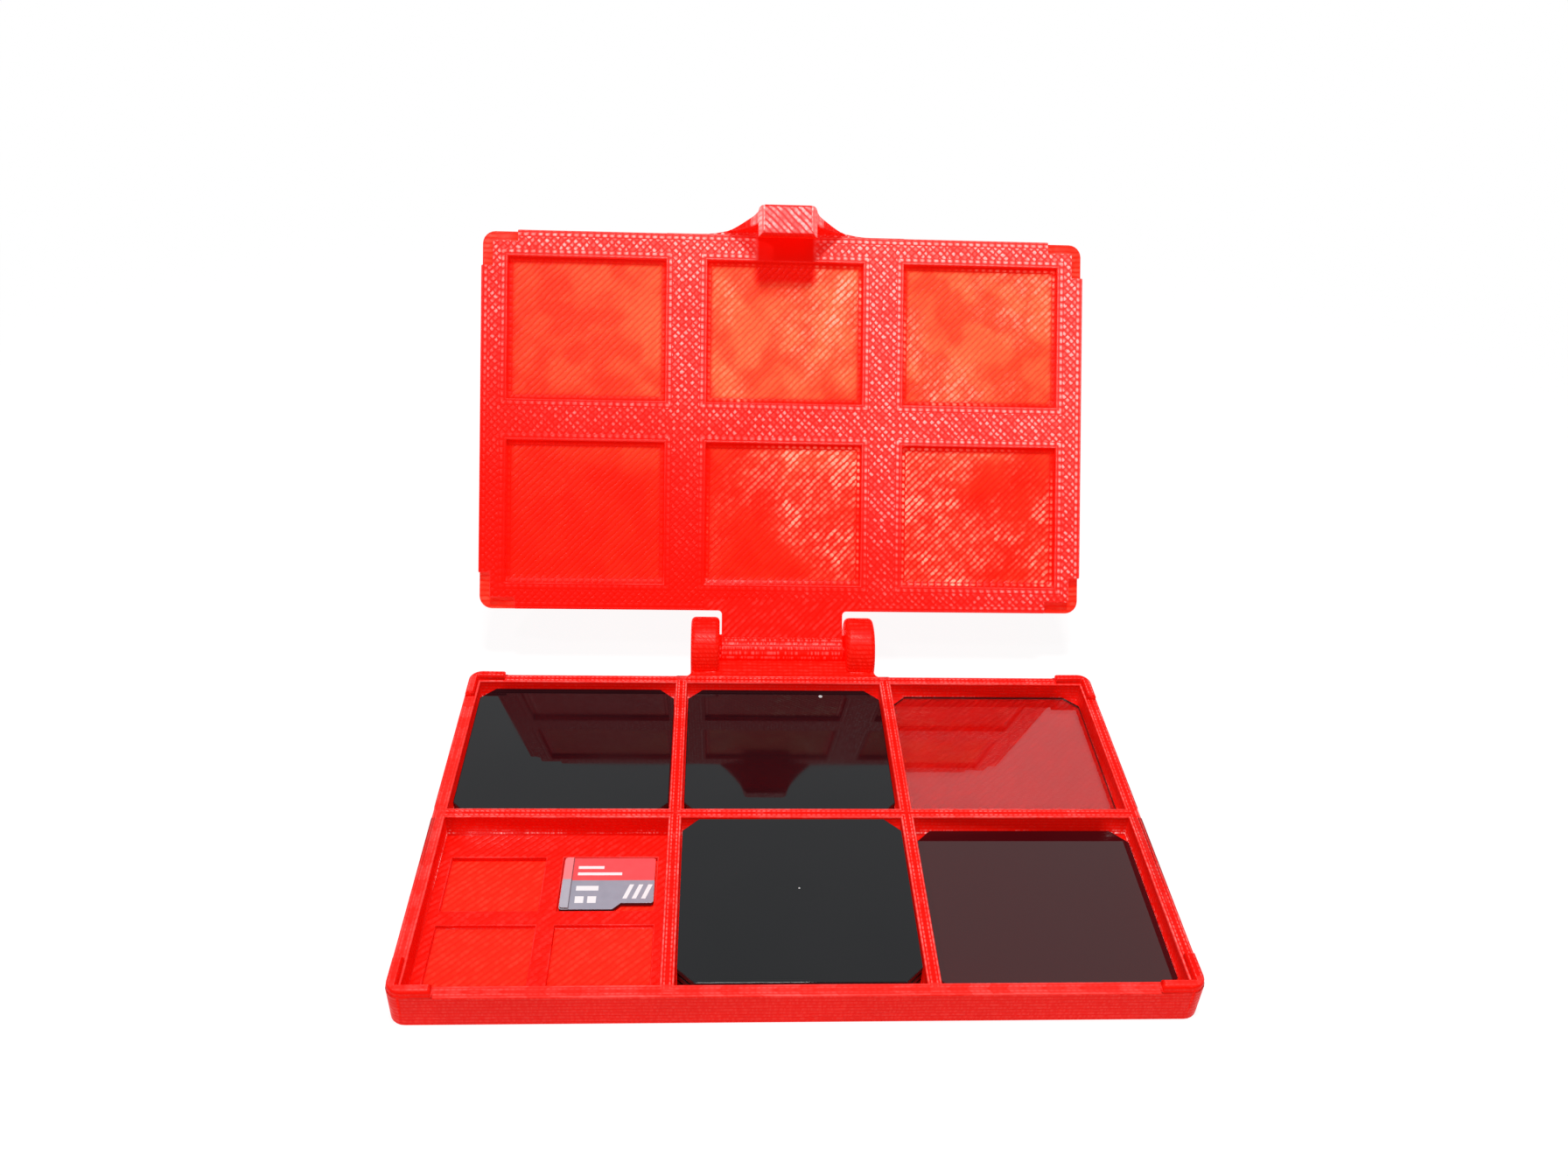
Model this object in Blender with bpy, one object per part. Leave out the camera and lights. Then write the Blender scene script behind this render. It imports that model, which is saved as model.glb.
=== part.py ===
"""A hinged case, printed in red plastic, for square filter panes and micro memory cards.

The tray has six cells. Five hold filter panes, one to three on top of each other, and the sixth has
four sunken pockets, one of them with a card. The lid turns on a plain pin between two ears behind
the tray and stands open against a stop. Its hook clips under the front edge of the tray.

Metres, +Z up. The origin is the centre of the tray's underside, +X is the right and +Y the hinge side.
"""

import math

import bmesh
import bpy
from mathutils import Matrix, Vector

# Filter panes
PANE_WIDTH = 0.0367
PANE_DEPTH = 0.0337
PANE_THICKNESS = 0.0011
PANE_CHAMFER = 0.0027
PANE_PLAY = 0.00025
PANE_GAP = 0.0003

# Cells and walls of the tray, the cells counted from the left and from the front
COLUMNS = ("left", "middle", "right")
ROWS = ("front", "back")
SIDE_WALL = 0.0022
END_WALL = 0.0022
DIVIDER = 0.0022
CROSS_DIVIDER = 0.0022
FLOOR = 0.0018
RIM_HEIGHT = 0.0061
CORNER_RADIUS = 0.0025

# Raised corner ribs of the tray, and the notches of the lid that drop over them
RIB_LEG = 0.0066
RIB_WIDTH = 0.0017
RIB_HEIGHT = 0.0012
RIB_ROUNDING = 0.00055
RIB_INSET = 0.00015
RIB_PLAY = 0.00035
NOTCH_DEPTH = 0.0015

# Memory card, label up, its contact end to the right
CARD_LENGTH = 0.015
CARD_WIDTH = 0.011
CARD_THICKNESS = 0.0007
CARD_STEP_LENGTH = 0.0052
CARD_STEP_DEPTH = 0.0013
CARD_CORNER = 0.0005
CARD_RIDGE_LENGTH = 0.0015
CARD_RIDGE_RISE = 0.0003
CARD_PLAY = 0.0002
CARD_GAP = 0.0003
POCKET_DEPTH = 0.00095
POCKET_SPACING = 0.0030
POCKET_BACK_BORDER = 0.0050
POCKET_COLUMNS = ("left", "right")
POCKET_ROWS = ("front", "back")

# Lid
LID_THICKNESS = 0.0024
LID_RECESS_DEPTH = 0.0012
LID_RECESS_BORDER = 0.0030
LID_GAP = 0.0003
OPEN_ANGLE = math.radians(124)

# Hinge
HINGE_REACH = 0.0079
EAR_WIDTH = 0.0056
EAR_RADIUS = 0.00665
EAR_ROUNDING = 0.0009
EAR_FOOT_FILLET = 0.0015
BARREL_LENGTH = 0.0241
BARREL_RADIUS = 0.0026
BARREL_PLAY = 0.0004
BARREL_SIDE_PLAY = 0.0004
TONGUE_FILLET = 0.0008
PIN_RADIUS = 0.000875
PIN_PLAY = 0.0003
PIN_END_PLAY = 0.0003
HINGE_LIFT = 0.00015
STOP_GAP = 0.0003
STOP_LENGTH = 0.0030
STOP_WALL = 0.0016

# Latch
LATCH_WIDTH = 0.0115
LATCH_THICKNESS = 0.0037
LATCH_PLAY = 0.0003
LATCH_LIP = 0.0026
LATCH_LIP_THICKNESS = 0.0016
LATCH_ROUNDING = 0.0012
LATCH_SHOULDER = 0.0025
LATCH_ROOT_HOLLOW = 1.5
FLARE_HALF_WIDTH = 0.0170
FLARE_RISE = 0.0019

# Making: how far cutters run past a face, how deep joined shapes reach into each other, and the
# small step that keeps their other faces out of one plane
OVERRUN = 0.001
JOIN_DEPTH = 0.0008
FACE_STEP = 0.0001
ARC_STEPS = 6
FLARE_STEPS = 8
CHANNEL_STEPS = 16
ROUND_SEGMENTS = 64
PIN_SEGMENTS = 24
ROUNDING_SEGMENTS = 3

# Worked out from the sizes above
CELL_WIDTH = PANE_WIDTH + 2 * PANE_PLAY
CELL_DEPTH = PANE_DEPTH + 2 * PANE_PLAY
TRAY_WIDTH = len(COLUMNS) * CELL_WIDTH + (len(COLUMNS) - 1) * DIVIDER + 2 * SIDE_WALL
TRAY_DEPTH = len(ROWS) * CELL_DEPTH + (len(ROWS) - 1) * CROSS_DIVIDER + 2 * END_WALL
AXIS_Y = TRAY_DEPTH / 2 + HINGE_REACH
AXIS_Z = RIM_HEIGHT + LID_GAP
POCKET_LENGTH = CARD_LENGTH + 2 * CARD_PLAY
POCKET_WIDTH = CARD_WIDTH + 2 * CARD_PLAY
EAR_INNER = BARREL_LENGTH / 2 + BARREL_SIDE_PLAY
EAR_OUTER = EAR_INNER + EAR_WIDTH
NOTCH_LEG = RIB_INSET + RIB_LEG + RIB_PLAY
NOTCH_WIDTH = RIB_INSET + RIB_WIDTH + RIB_PLAY
LATCH_INNER = HINGE_REACH + TRAY_DEPTH + LATCH_PLAY
LATCH_OUTER = LATCH_INNER + LATCH_THICKNESS
SHOULDER_X = LATCH_WIDTH / 2 + LATCH_SHOULDER

# What lies in each cell, by its row and column: the layers of panes and their glass, or the cards
CARD_CELL = ("front", "left")
CARD_POCKET = ("back", "right")
PANE_STACKS = (
    ("front", "middle", ("lower", "middle", "upper"), "dark_glass"),
    ("front", "right", ("single",), "dark_glass"),
    ("back", "left", ("lower", "upper"), "dark_glass"),
    ("back", "middle", ("lower", "upper"), "dark_glass"),
    ("back", "right", ("single",), "tinted_glass"),
)


def clear_scene():
    for obj in list(bpy.data.objects):
        bpy.data.objects.remove(obj)


def make_material(name, colour, roughness, transmission=0.0):
    material = bpy.data.materials.new(name)
    material.use_nodes = True
    shader = material.node_tree.nodes["Principled BSDF"]
    shader.inputs["Base Color"].default_value = (*colour, 1.0)
    shader.inputs["Roughness"].default_value = roughness
    shader.inputs["Metallic"].default_value = 0.0
    shader.inputs["Transmission Weight"].default_value = transmission
    return material


def make_object(name, mesh_maker, material=None, parent=None):
    """Turns a bmesh into an object; without a material it is a tool for a Boolean and isn't rendered."""
    bmesh.ops.recalc_face_normals(mesh_maker, faces=mesh_maker.faces)
    mesh = bpy.data.meshes.new(name)
    mesh_maker.to_mesh(mesh)
    mesh_maker.free()
    obj = bpy.data.objects.new(name, mesh)
    bpy.context.scene.collection.objects.link(obj)
    obj.parent = parent
    if material:
        mesh.materials.append(material)
    else:
        obj.hide_render = True
        obj.display_type = "WIRE"
    return obj


def boolean(target, tool, operation):
    modifier = target.modifiers.new(tool.name, "BOOLEAN")
    modifier.operation = operation
    modifier.object = tool
    modifier.solver = "EXACT"


def add_box(shape, low, high):
    low, high = Vector(low), Vector(high)
    size = high - low
    place = Matrix.Translation((low + high) / 2) @ Matrix.Diagonal((*size, 1))
    return bmesh.ops.create_cube(shape, size=1, matrix=place)["verts"]


def add_prism(shape, points, low, high, across):
    """Extrudes an outline from low to high along the axis named by across."""
    places = {"x": lambda a, b: (low, a, b), "z": lambda a, b: (a, b, low)}[across]
    way = {"x": Vector((high - low, 0, 0)), "z": Vector((0, 0, high - low))}[across]
    face = shape.faces.new([shape.verts.new(places(a, b)) for a, b in points])
    raised = bmesh.ops.extrude_face_region(shape, geom=[face])["geom"]
    moved = [item for item in raised if isinstance(item, bmesh.types.BMVert)]
    bmesh.ops.translate(shape, verts=moved, vec=way)


def add_loft(shape, sections):
    """Joins sections with the same number of points one after the other, and closes both ends."""
    rings = [[shape.verts.new(point) for point in section] for section in sections]
    shape.faces.new(reversed(rings[0]))
    shape.faces.new(rings[-1])
    for ring, after in zip(rings, rings[1:]):
        for i in range(len(ring)):
            shape.faces.new((ring[i - 1], ring[i], after[i], after[i - 1]))


def add_round_bar(shape, radius, low_x, high_x, segments):
    place = Matrix.Translation(((low_x + high_x) / 2, 0, 0)) @ Matrix.Rotation(math.pi / 2, 4, "Y")
    made = bmesh.ops.create_cone(
        shape,
        cap_ends=True,
        segments=segments,
        radius1=radius,
        radius2=radius,
        depth=high_x - low_x,
        matrix=place,
    )
    return made["verts"]


def round_edges(shape, edges, radius):
    bmesh.ops.bevel(
        shape,
        geom=list(edges),
        offset=radius,
        segments=ROUNDING_SEGMENTS,
        profile=0.5,
        affect="EDGES",
        material=-1,
    )


def cut_flat(shape, point, outward):
    """Cuts off what lies beyond a plane, and closes the cut."""
    cut = bmesh.ops.bisect_plane(
        shape,
        geom=[*shape.verts, *shape.edges, *shape.faces],
        plane_co=point,
        plane_no=outward,
        clear_outer=True,
    )
    loop = [item for item in cut["geom_cut"] if isinstance(item, bmesh.types.BMEdge)]
    bmesh.ops.contextual_create(shape, geom=loop)


def arc(centre, radius, start, end, steps):
    """Points on an arc, with both its ends, angles in degrees."""
    angles = (math.radians(start + (end - start) * i / steps) for i in range(steps + 1))
    return [(centre[0] + radius * math.cos(a), centre[1] + radius * math.sin(a)) for a in angles]


def rounded_rectangle(width, depth, radius):
    x, y = width / 2 - radius, depth / 2 - radius
    corners = (((x, y), 0), ((-x, y), 90), ((-x, -y), 180), ((x, -y), 270))
    return [p for centre, turn in corners for p in arc(centre, radius, turn, turn + 90, ARC_STEPS)]


def from_middle(name, names):
    """How many places a name stands after the middle of its row."""
    return names.index(name) - (len(names) - 1) / 2


def cell_centre(row, column):
    x = from_middle(column, COLUMNS) * (CELL_WIDTH + DIVIDER)
    y = from_middle(row, ROWS) * (CELL_DEPTH + CROSS_DIVIDER)
    return x, y


def cell_centres():
    return [cell_centre(row, column) for row in ROWS for column in COLUMNS]


def pocket_centre(row, column):
    x, y = cell_centre(*CARD_CELL)
    x += from_middle(column, POCKET_COLUMNS) * (POCKET_LENGTH + POCKET_SPACING)
    backmost = y + CELL_DEPTH / 2 - POCKET_BACK_BORDER - POCKET_WIDTH / 2
    rows_behind = len(POCKET_ROWS) - 1 - POCKET_ROWS.index(row)
    return x, backmost - rows_behind * (POCKET_WIDTH + POCKET_SPACING)


def rib_outline(corner_x, corner_y):
    """The L-shaped outline of a corner rib, for the corner on that side of the centre."""
    x, y = TRAY_WIDTH / 2 - RIB_INSET, TRAY_DEPTH / 2 - RIB_INSET
    radius = CORNER_RADIUS - RIB_INSET
    outer = arc((x - radius, y - radius), radius, 0, 90, ARC_STEPS)
    inner = [(x - RIB_LEG, y), (x - RIB_LEG, y - RIB_WIDTH), (x - RIB_WIDTH, y - RIB_WIDTH)]
    points = outer + inner + [(x - RIB_WIDTH, y - RIB_LEG), (x, y - RIB_LEG)]
    return [(corner_x * px, corner_y * py) for px, py in points]


def hinge_web_outline():
    """The strap behind the tray, the channel under the barrel and the stop behind it, as y and z."""
    along = Vector((-math.cos(OPEN_ANGLE), math.sin(OPEN_ANGLE)))
    outward = Vector((math.sin(OPEN_ANGLE), math.cos(OPEN_ANGLE)))
    axis = Vector((AXIS_Y, AXIS_Z))
    channel = BARREL_RADIUS + BARREL_PLAY
    stop_offset = LID_THICKNESS + STOP_GAP
    strap_top = RIM_HEIGHT - FACE_STEP
    tray_back = TRAY_DEPTH / 2 - JOIN_DEPTH
    front = 180 + math.degrees(math.asin((AXIS_Z - strap_top) / channel))
    foot = axis + outward * stop_offset
    if channel > stop_offset:
        foot += along * math.sqrt(channel**2 - stop_offset**2)
    toward = foot - axis
    rear = 360 + math.degrees(math.atan2(toward.y, toward.x))
    top = axis + outward * stop_offset + along * STOP_LENGTH
    back = top + outward * STOP_WALL
    points = [(tray_back, HINGE_LIFT), (tray_back, strap_top)]
    points += arc(axis, channel, front, rear, CHANNEL_STEPS)
    if channel <= stop_offset:
        points.append(tuple(foot))
    points += [tuple(top), tuple(back), (back.x, AXIS_Z - channel), (AXIS_Y, HINGE_LIFT)]
    return points


def make_ear(side):
    """A round ear on the hinge axis, cut flat underneath."""
    low, high = sorted((side * EAR_INNER, side * EAR_OUTER))
    ear = bmesh.new()
    add_round_bar(ear, EAR_RADIUS, low, high, ROUND_SEGMENTS)
    ends = [face for face in ear.faces if len(face.verts) == ROUND_SEGMENTS]
    round_edges(ear, {edge for face in ends for edge in face.edges}, EAR_ROUNDING)
    bmesh.ops.translate(ear, verts=ear.verts, vec=(0, AXIS_Y, AXIS_Z))
    cut_flat(ear, (0, 0, HINGE_LIFT), (0, 0, -1))
    return ear


def ear_foot_outline(side):
    """The foot that joins an ear to the back wall, seen from above, with its hollow outer corner."""
    back = TRAY_DEPTH / 2
    inner, outer = EAR_INNER + EAR_ROUNDING, EAR_OUTER - FACE_STEP
    corner = (outer + EAR_FOOT_FILLET, back + EAR_FOOT_FILLET)
    points = [(inner, AXIS_Y), (inner, back - JOIN_DEPTH), (corner[0], back - JOIN_DEPTH)]
    points += arc(corner, EAR_FOOT_FILLET, 270, 180, ARC_STEPS) + [(outer, AXIS_Y)]
    return [(side * x, y) for x, y in points]


def make_tray(plastic):
    body = bmesh.new()
    add_prism(body, rounded_rectangle(TRAY_WIDTH, TRAY_DEPTH, CORNER_RADIUS), 0, RIM_HEIGHT, "z")
    tray = make_object("base_tray", body, plastic)

    ribs = bmesh.new()
    rib_top = RIM_HEIGHT + RIB_HEIGHT
    for corner_x, corner_y in ((1, 1), (-1, 1), (-1, -1), (1, -1)):
        add_prism(ribs, rib_outline(corner_x, corner_y), RIM_HEIGHT - JOIN_DEPTH, rib_top, "z")
    tops = [face for face in ribs.faces if face.calc_center_median().z > RIM_HEIGHT + RIB_HEIGHT / 2]
    round_edges(ribs, {edge for face in tops for edge in face.edges}, RIB_ROUNDING)
    boolean(tray, make_object("corner_ribs", ribs), "UNION")

    web = bmesh.new()
    middle = EAR_INNER + EAR_ROUNDING + JOIN_DEPTH
    add_prism(web, hinge_web_outline(), -middle, middle, "x")
    boolean(tray, make_object("hinge_web", web), "UNION")

    for side, name in ((-1, "left"), (1, "right")):
        boolean(tray, make_object(name + "_ear", make_ear(side)), "UNION")
        foot = bmesh.new()
        add_prism(foot, ear_foot_outline(side), 2 * HINGE_LIFT, RIM_HEIGHT - 2 * FACE_STEP, "z")
        boolean(tray, make_object(name + "_ear_foot", foot), "UNION")

    hollows = bmesh.new()
    half = Vector((CELL_WIDTH / 2, CELL_DEPTH / 2))
    for x, y in cell_centres():
        low = (x - half.x, y - half.y, FLOOR)
        add_box(hollows, low, (x + half.x, y + half.y, rib_top + OVERRUN))
    boolean(tray, make_object("cells", hollows), "DIFFERENCE")

    pockets = bmesh.new()
    for row in POCKET_ROWS:
        for column in POCKET_COLUMNS:
            x, y = pocket_centre(row, column)
            low = (x - POCKET_LENGTH / 2, y - POCKET_WIDTH / 2, FLOOR - POCKET_DEPTH)
            add_box(pockets, low, (x + POCKET_LENGTH / 2, y + POCKET_WIDTH / 2, FLOOR + OVERRUN))
    boolean(tray, make_object("card_pockets", pockets), "DIFFERENCE")

    bore = bmesh.new()
    add_round_bar(bore, PIN_RADIUS + PIN_PLAY, -EAR_OUTER - OVERRUN, EAR_OUTER + OVERRUN, PIN_SEGMENTS)
    bmesh.ops.translate(bore, verts=bore.verts, vec=(0, AXIS_Y, AXIS_Z))
    boolean(tray, make_object("ear_bores", bore), "DIFFERENCE")


def flare_front(x):
    """How far in front of the axis the lid reaches beside the hook, at a distance from its middle."""
    front = HINGE_REACH + TRAY_DEPTH
    if x > SHOULDER_X:
        return front + FLARE_RISE * ((FLARE_HALF_WIDTH - x) / (FLARE_HALF_WIDTH - SHOULDER_X)) ** 2
    shoulder, tip = front + FLARE_RISE, LATCH_OUTER - LATCH_ROUNDING
    return shoulder + (tip - shoulder) * min(1, (SHOULDER_X - x) / LATCH_SHOULDER)


def lid_outline():
    """The lid's outline, seen from above when closed: x, and the distance in front of the axis as -y."""
    back, front = HINGE_REACH, HINGE_REACH + TRAY_DEPTH
    edge = TRAY_WIDTH / 2
    tongue = BARREL_LENGTH / 2
    side = [(tongue, 0)]
    side += arc((tongue + TONGUE_FILLET, back - TONGUE_FILLET), TONGUE_FILLET, 180, 90, ARC_STEPS)
    side += arc((edge - CORNER_RADIUS, back + CORNER_RADIUS), CORNER_RADIUS, -90, 0, ARC_STEPS)
    side += arc((edge - CORNER_RADIUS, front - CORNER_RADIUS), CORNER_RADIUS, 0, 90, ARC_STEPS)
    for step in range(FLARE_STEPS + 1):
        x = FLARE_HALF_WIDTH + (SHOULDER_X - FLARE_HALF_WIDTH) * step / FLARE_STEPS
        side.append((x, flare_front(x)))

    # Inside the hook, which rounds off the flare's tip
    half, tip = LATCH_WIDTH / 2 - FACE_STEP, LATCH_OUTER - FACE_STEP
    side += [(half, tip - LATCH_ROUNDING), (half - LATCH_ROUNDING, tip)]
    return [(x, -t) for x, t in side] + [(-x, -t) for x, t in reversed(side)]


def make_hook():
    """The arm and the lip of the hook, its outer side corners and its end rounded."""
    lip = LATCH_INNER - LATCH_LIP
    under = -AXIS_Z - LATCH_PLAY
    low, high = under - LATCH_LIP_THICKNESS, LID_THICKNESS - FACE_STEP
    outline = [(LATCH_INNER, high), (LATCH_INNER, under), (lip, under), (lip, low), (LATCH_OUTER, low)]
    outline.append((LATCH_OUTER, high))
    hook = bmesh.new()
    add_prism(hook, [(-t, z) for t, z in outline], -LATCH_WIDTH / 2, LATCH_WIDTH / 2, "x")
    end = min(hook.faces, key=lambda face: face.calc_center_median().z)
    front = min(hook.faces, key=lambda face: face.calc_center_median().y)
    top = max(hook.faces, key=lambda face: face.calc_center_median().z)
    round_edges(hook, {*end.edges, *front.edges} - {*top.edges}, LATCH_ROUNDING)
    return hook


def make_hook_root(side):
    """The hollow flare that widens one side of the hook towards the lid, down to where the lid's own ends."""
    half, inner = LATCH_WIDTH / 2, LATCH_INNER + FACE_STEP
    depth = AXIS_Z + LATCH_PLAY + LATCH_LIP_THICKNESS - LATCH_ROUNDING
    thin = min(1, (LATCH_PLAY + 3 * FACE_STEP) / FLARE_RISE)
    foot = FLARE_HALF_WIDTH - (FLARE_HALF_WIDTH - SHOULDER_X) * math.sqrt(thin)
    stations = [(half - JOIN_DEPTH, -depth)]
    for step in range(FLARE_STEPS + 1):
        share = step / FLARE_STEPS
        x = half + (foot - half) * share**LATCH_ROOT_HOLLOW
        stations.append((x, share * (depth + FACE_STEP) - depth))

    root = bmesh.new()
    buried = LID_THICKNESS / 2
    sections = []
    for x, low in stations:
        outer = flare_front(x) - FACE_STEP
        corners = ((inner, buried), (inner, low), (outer, low), (outer, buried))
        sections.append([(side * x, -t, z) for t, z in corners])
    add_loft(root, sections)
    return root


def make_lid(plastic, hinge):
    plate = bmesh.new()
    add_prism(plate, lid_outline(), 0, LID_THICKNESS, "z")
    lid = make_object("lid", plate, plastic, hinge)

    barrel = bmesh.new()
    add_round_bar(barrel, BARREL_RADIUS, -BARREL_LENGTH / 2, BARREL_LENGTH / 2, ROUND_SEGMENTS)
    boolean(lid, make_object("barrel", barrel, None, hinge), "UNION")

    boolean(lid, make_object("hook", make_hook(), None, hinge), "UNION")
    for side, name in ((-1, "left"), (1, "right")):
        boolean(lid, make_object(name + "_hook_root", make_hook_root(side), None, hinge), "UNION")

    recesses = bmesh.new()
    half = Vector((CELL_WIDTH / 2 - LID_RECESS_BORDER, CELL_DEPTH / 2 - LID_RECESS_BORDER))
    for x, y in cell_centres():
        y -= AXIS_Y
        add_box(recesses, (x - half.x, y - half.y, -OVERRUN), (x + half.x, y + half.y, LID_RECESS_DEPTH))
    boolean(lid, make_object("lid_recesses", recesses, None, hinge), "DIFFERENCE")

    back, front = -HINGE_REACH, -HINGE_REACH - TRAY_DEPTH
    edge = TRAY_WIDTH / 2
    for side in (-1, 1):
        for end, way in ((back, 1), (front, -1)):
            notch = bmesh.new()
            outer_x, outer_y = side * (edge + OVERRUN), end + way * OVERRUN
            for leg_x, leg_y in ((NOTCH_LEG, NOTCH_WIDTH), (NOTCH_WIDTH, NOTCH_LEG)):
                xs = sorted((outer_x, side * (edge - leg_x)))
                ys = sorted((outer_y, end - way * leg_y))
                add_box(notch, (xs[0], ys[0], -OVERRUN), (xs[1], ys[1], NOTCH_DEPTH))
            tool = make_object("notch", notch, None, hinge)
            boolean(lid, tool, "DIFFERENCE")
            lid.modifiers[-1].use_self = True

    bore = bmesh.new()
    add_round_bar(
        bore,
        PIN_RADIUS + PIN_PLAY,
        -BARREL_LENGTH / 2 - OVERRUN,
        BARREL_LENGTH / 2 + OVERRUN,
        PIN_SEGMENTS,
    )
    boolean(lid, make_object("barrel_bore", bore, None, hinge), "DIFFERENCE")


def make_pin(plastic):
    pin = bmesh.new()
    reach = EAR_OUTER - PIN_END_PLAY
    add_round_bar(pin, PIN_RADIUS, -reach, reach, PIN_SEGMENTS)
    obj = make_object("hinge_pin", pin, plastic)
    obj.location = (0, AXIS_Y, AXIS_Z)


def make_panes(glasses):
    x, y, cut = PANE_WIDTH / 2, PANE_DEPTH / 2, PANE_CHAMFER
    outline = [(x, cut - y), (x, y - cut), (x - cut, y), (cut - x, y)]
    outline += [(-px, -py) for px, py in outline]
    for row, column, layers, glass in PANE_STACKS:
        for level, layer in enumerate(layers):
            pane = bmesh.new()
            add_prism(pane, outline, 0, PANE_THICKNESS, "z")
            name = f"filter_{row}_{column}" if layer == "single" else f"filter_{row}_{column}_{layer}"
            obj = make_object(name, pane, glasses[glass])
            height = FLOOR + PANE_GAP + level * (PANE_THICKNESS + PANE_GAP)
            obj.location = (*cell_centre(row, column), height)


def make_card(shell):
    """The card steps in at its contact end, in front, and has a grip ridge across the other end."""
    x, y = CARD_LENGTH / 2, CARD_WIDTH / 2
    r, step = CARD_CORNER, CARD_STEP_DEPTH
    grip_end = arc((r - x, y - r), r, 90, 180, ARC_STEPS) + arc((r - x, r - y), r, 180, 270, ARC_STEPS)
    contact_end = [(x - CARD_STEP_LENGTH - step, -y), (x - CARD_STEP_LENGTH, step - y)]
    contact_end += arc((x - r, step - y + r), r, 270, 360, ARC_STEPS)
    contact_end += arc((x - r, y - r), r, 0, 90, ARC_STEPS)
    body = bmesh.new()
    add_prism(body, grip_end + contact_end, 0, CARD_THICKNESS, "z")
    card = make_object("memory_card", body, shell)
    card.location = (*pocket_centre(*CARD_POCKET), FLOOR - POCKET_DEPTH + CARD_GAP)

    ridge = bmesh.new()
    inner = CARD_RIDGE_LENGTH - x
    outline = [(px + FACE_STEP, py * (y - FACE_STEP) / y) for px, py in grip_end]
    outline += [(inner, FACE_STEP - y), (inner, y - FACE_STEP)]
    add_prism(ridge, outline, CARD_THICKNESS / 2, CARD_THICKNESS + CARD_RIDGE_RISE, "z")
    tool = make_object("card_ridge", ridge)
    tool.location = card.location
    boolean(card, tool, "UNION")


def main():
    clear_scene()
    plastic = make_material("red_plastic", (0.85, 0.02, 0.012), 0.35)
    pin_plastic = make_material("pin_plastic", (0.6, 0.015, 0.01), 0.4)
    card_shell = make_material("card_shell", (0.4, 0.4, 0.48), 0.4)
    glasses = {
        "dark_glass": make_material("dark_glass", (0.012, 0.012, 0.014), 0.03),
        "tinted_glass": make_material("tinted_glass", (0.45, 0.38, 0.4), 0.03, 0.6),
    }

    make_tray(plastic)

    # The lid is modelled closed, from its axis, and then opened
    hinge = bpy.data.objects.new("lid_axis", None)
    bpy.context.scene.collection.objects.link(hinge)
    hinge.location = (0, AXIS_Y, AXIS_Z)
    hinge.rotation_euler = (-OPEN_ANGLE, 0, 0)
    make_lid(plastic, hinge)

    make_pin(pin_plastic)
    make_panes(glasses)
    make_card(card_shell)


main()
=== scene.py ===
"""The looks of a printed red case for square filter panes and micro memory cards.

Metres, +Z up, in the frame of the solids: the origin is the centre of the tray's underside and +Y the
hinge side. The tray and the lid are finished in their print frames, lying flat as when they were printed.
"""

import math

import bmesh
import bpy
from mathutils import Matrix, Vector


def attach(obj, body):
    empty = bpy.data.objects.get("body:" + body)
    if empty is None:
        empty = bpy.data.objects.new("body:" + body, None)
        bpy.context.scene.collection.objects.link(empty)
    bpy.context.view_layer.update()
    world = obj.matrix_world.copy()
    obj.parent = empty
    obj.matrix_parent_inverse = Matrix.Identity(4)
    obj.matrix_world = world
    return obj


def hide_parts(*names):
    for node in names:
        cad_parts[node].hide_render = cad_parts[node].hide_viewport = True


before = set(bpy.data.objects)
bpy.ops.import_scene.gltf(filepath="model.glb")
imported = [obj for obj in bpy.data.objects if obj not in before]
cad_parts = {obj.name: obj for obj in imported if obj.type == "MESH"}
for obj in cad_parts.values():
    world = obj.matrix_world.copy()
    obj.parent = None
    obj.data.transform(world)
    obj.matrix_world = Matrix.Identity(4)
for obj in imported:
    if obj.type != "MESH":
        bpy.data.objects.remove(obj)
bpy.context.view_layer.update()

MM = 0.001
ALONG_X = Vector((1, 0, 0))
ALONG_Y = Vector((0, 1, 0))

# Sizes of the case that the finishes and the seams follow
CELL_WIDTH = 37.2 * MM
CELL_DEPTH = 34.2 * MM
WALL = 2.2 * MM
PITCH_X = CELL_WIDTH + WALL
PITCH_Y = CELL_DEPTH + WALL
TRAY_WIDTH = 3 * CELL_WIDTH + 4 * WALL
TRAY_DEPTH = 2 * CELL_DEPTH + 3 * WALL
LID_THICKNESS = 2.4 * MM
BARREL_RADIUS = 2.6 * MM
RECESS_BORDER = 3.0 * MM
RECESS_WIDTH = CELL_WIDTH - 2 * RECESS_BORDER
RECESS_LENGTH = CELL_DEPTH - 2 * RECESS_BORDER
NOTCH_LEG = 7.1 * MM
NOTCH_WIDTH = 2.2 * MM
RIB_END = 7.2 * MM
AXIS_Y = 45.4 * MM
AXIS_Z = 6.4 * MM
OPEN_ANGLE = math.radians(124)

# Where the faces of the tray and of the lid part, in their print frames
POCKET_FLOORS_BELOW = 1.5 * MM
TRAY_FLOORS_BELOW = 2.5 * MM
OUTER_FACE_BELOW = 0.2 * MM
NOTCH_FLOORS_BELOW = 1.1 * MM
RECESS_FLOORS_BELOW = 1.8 * MM
HOOK_EDGES_ABOVE = 6.5 * MM
HOOK_ABOVE = 8.0 * MM
HOOK_EDGE_SIDEWAYS = 0.2
HOOK_EDGE_UPWARDS = 0.15
BARREL_REACH = 1.1 * BARREL_RADIUS
LEVEL = 0.9

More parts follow.
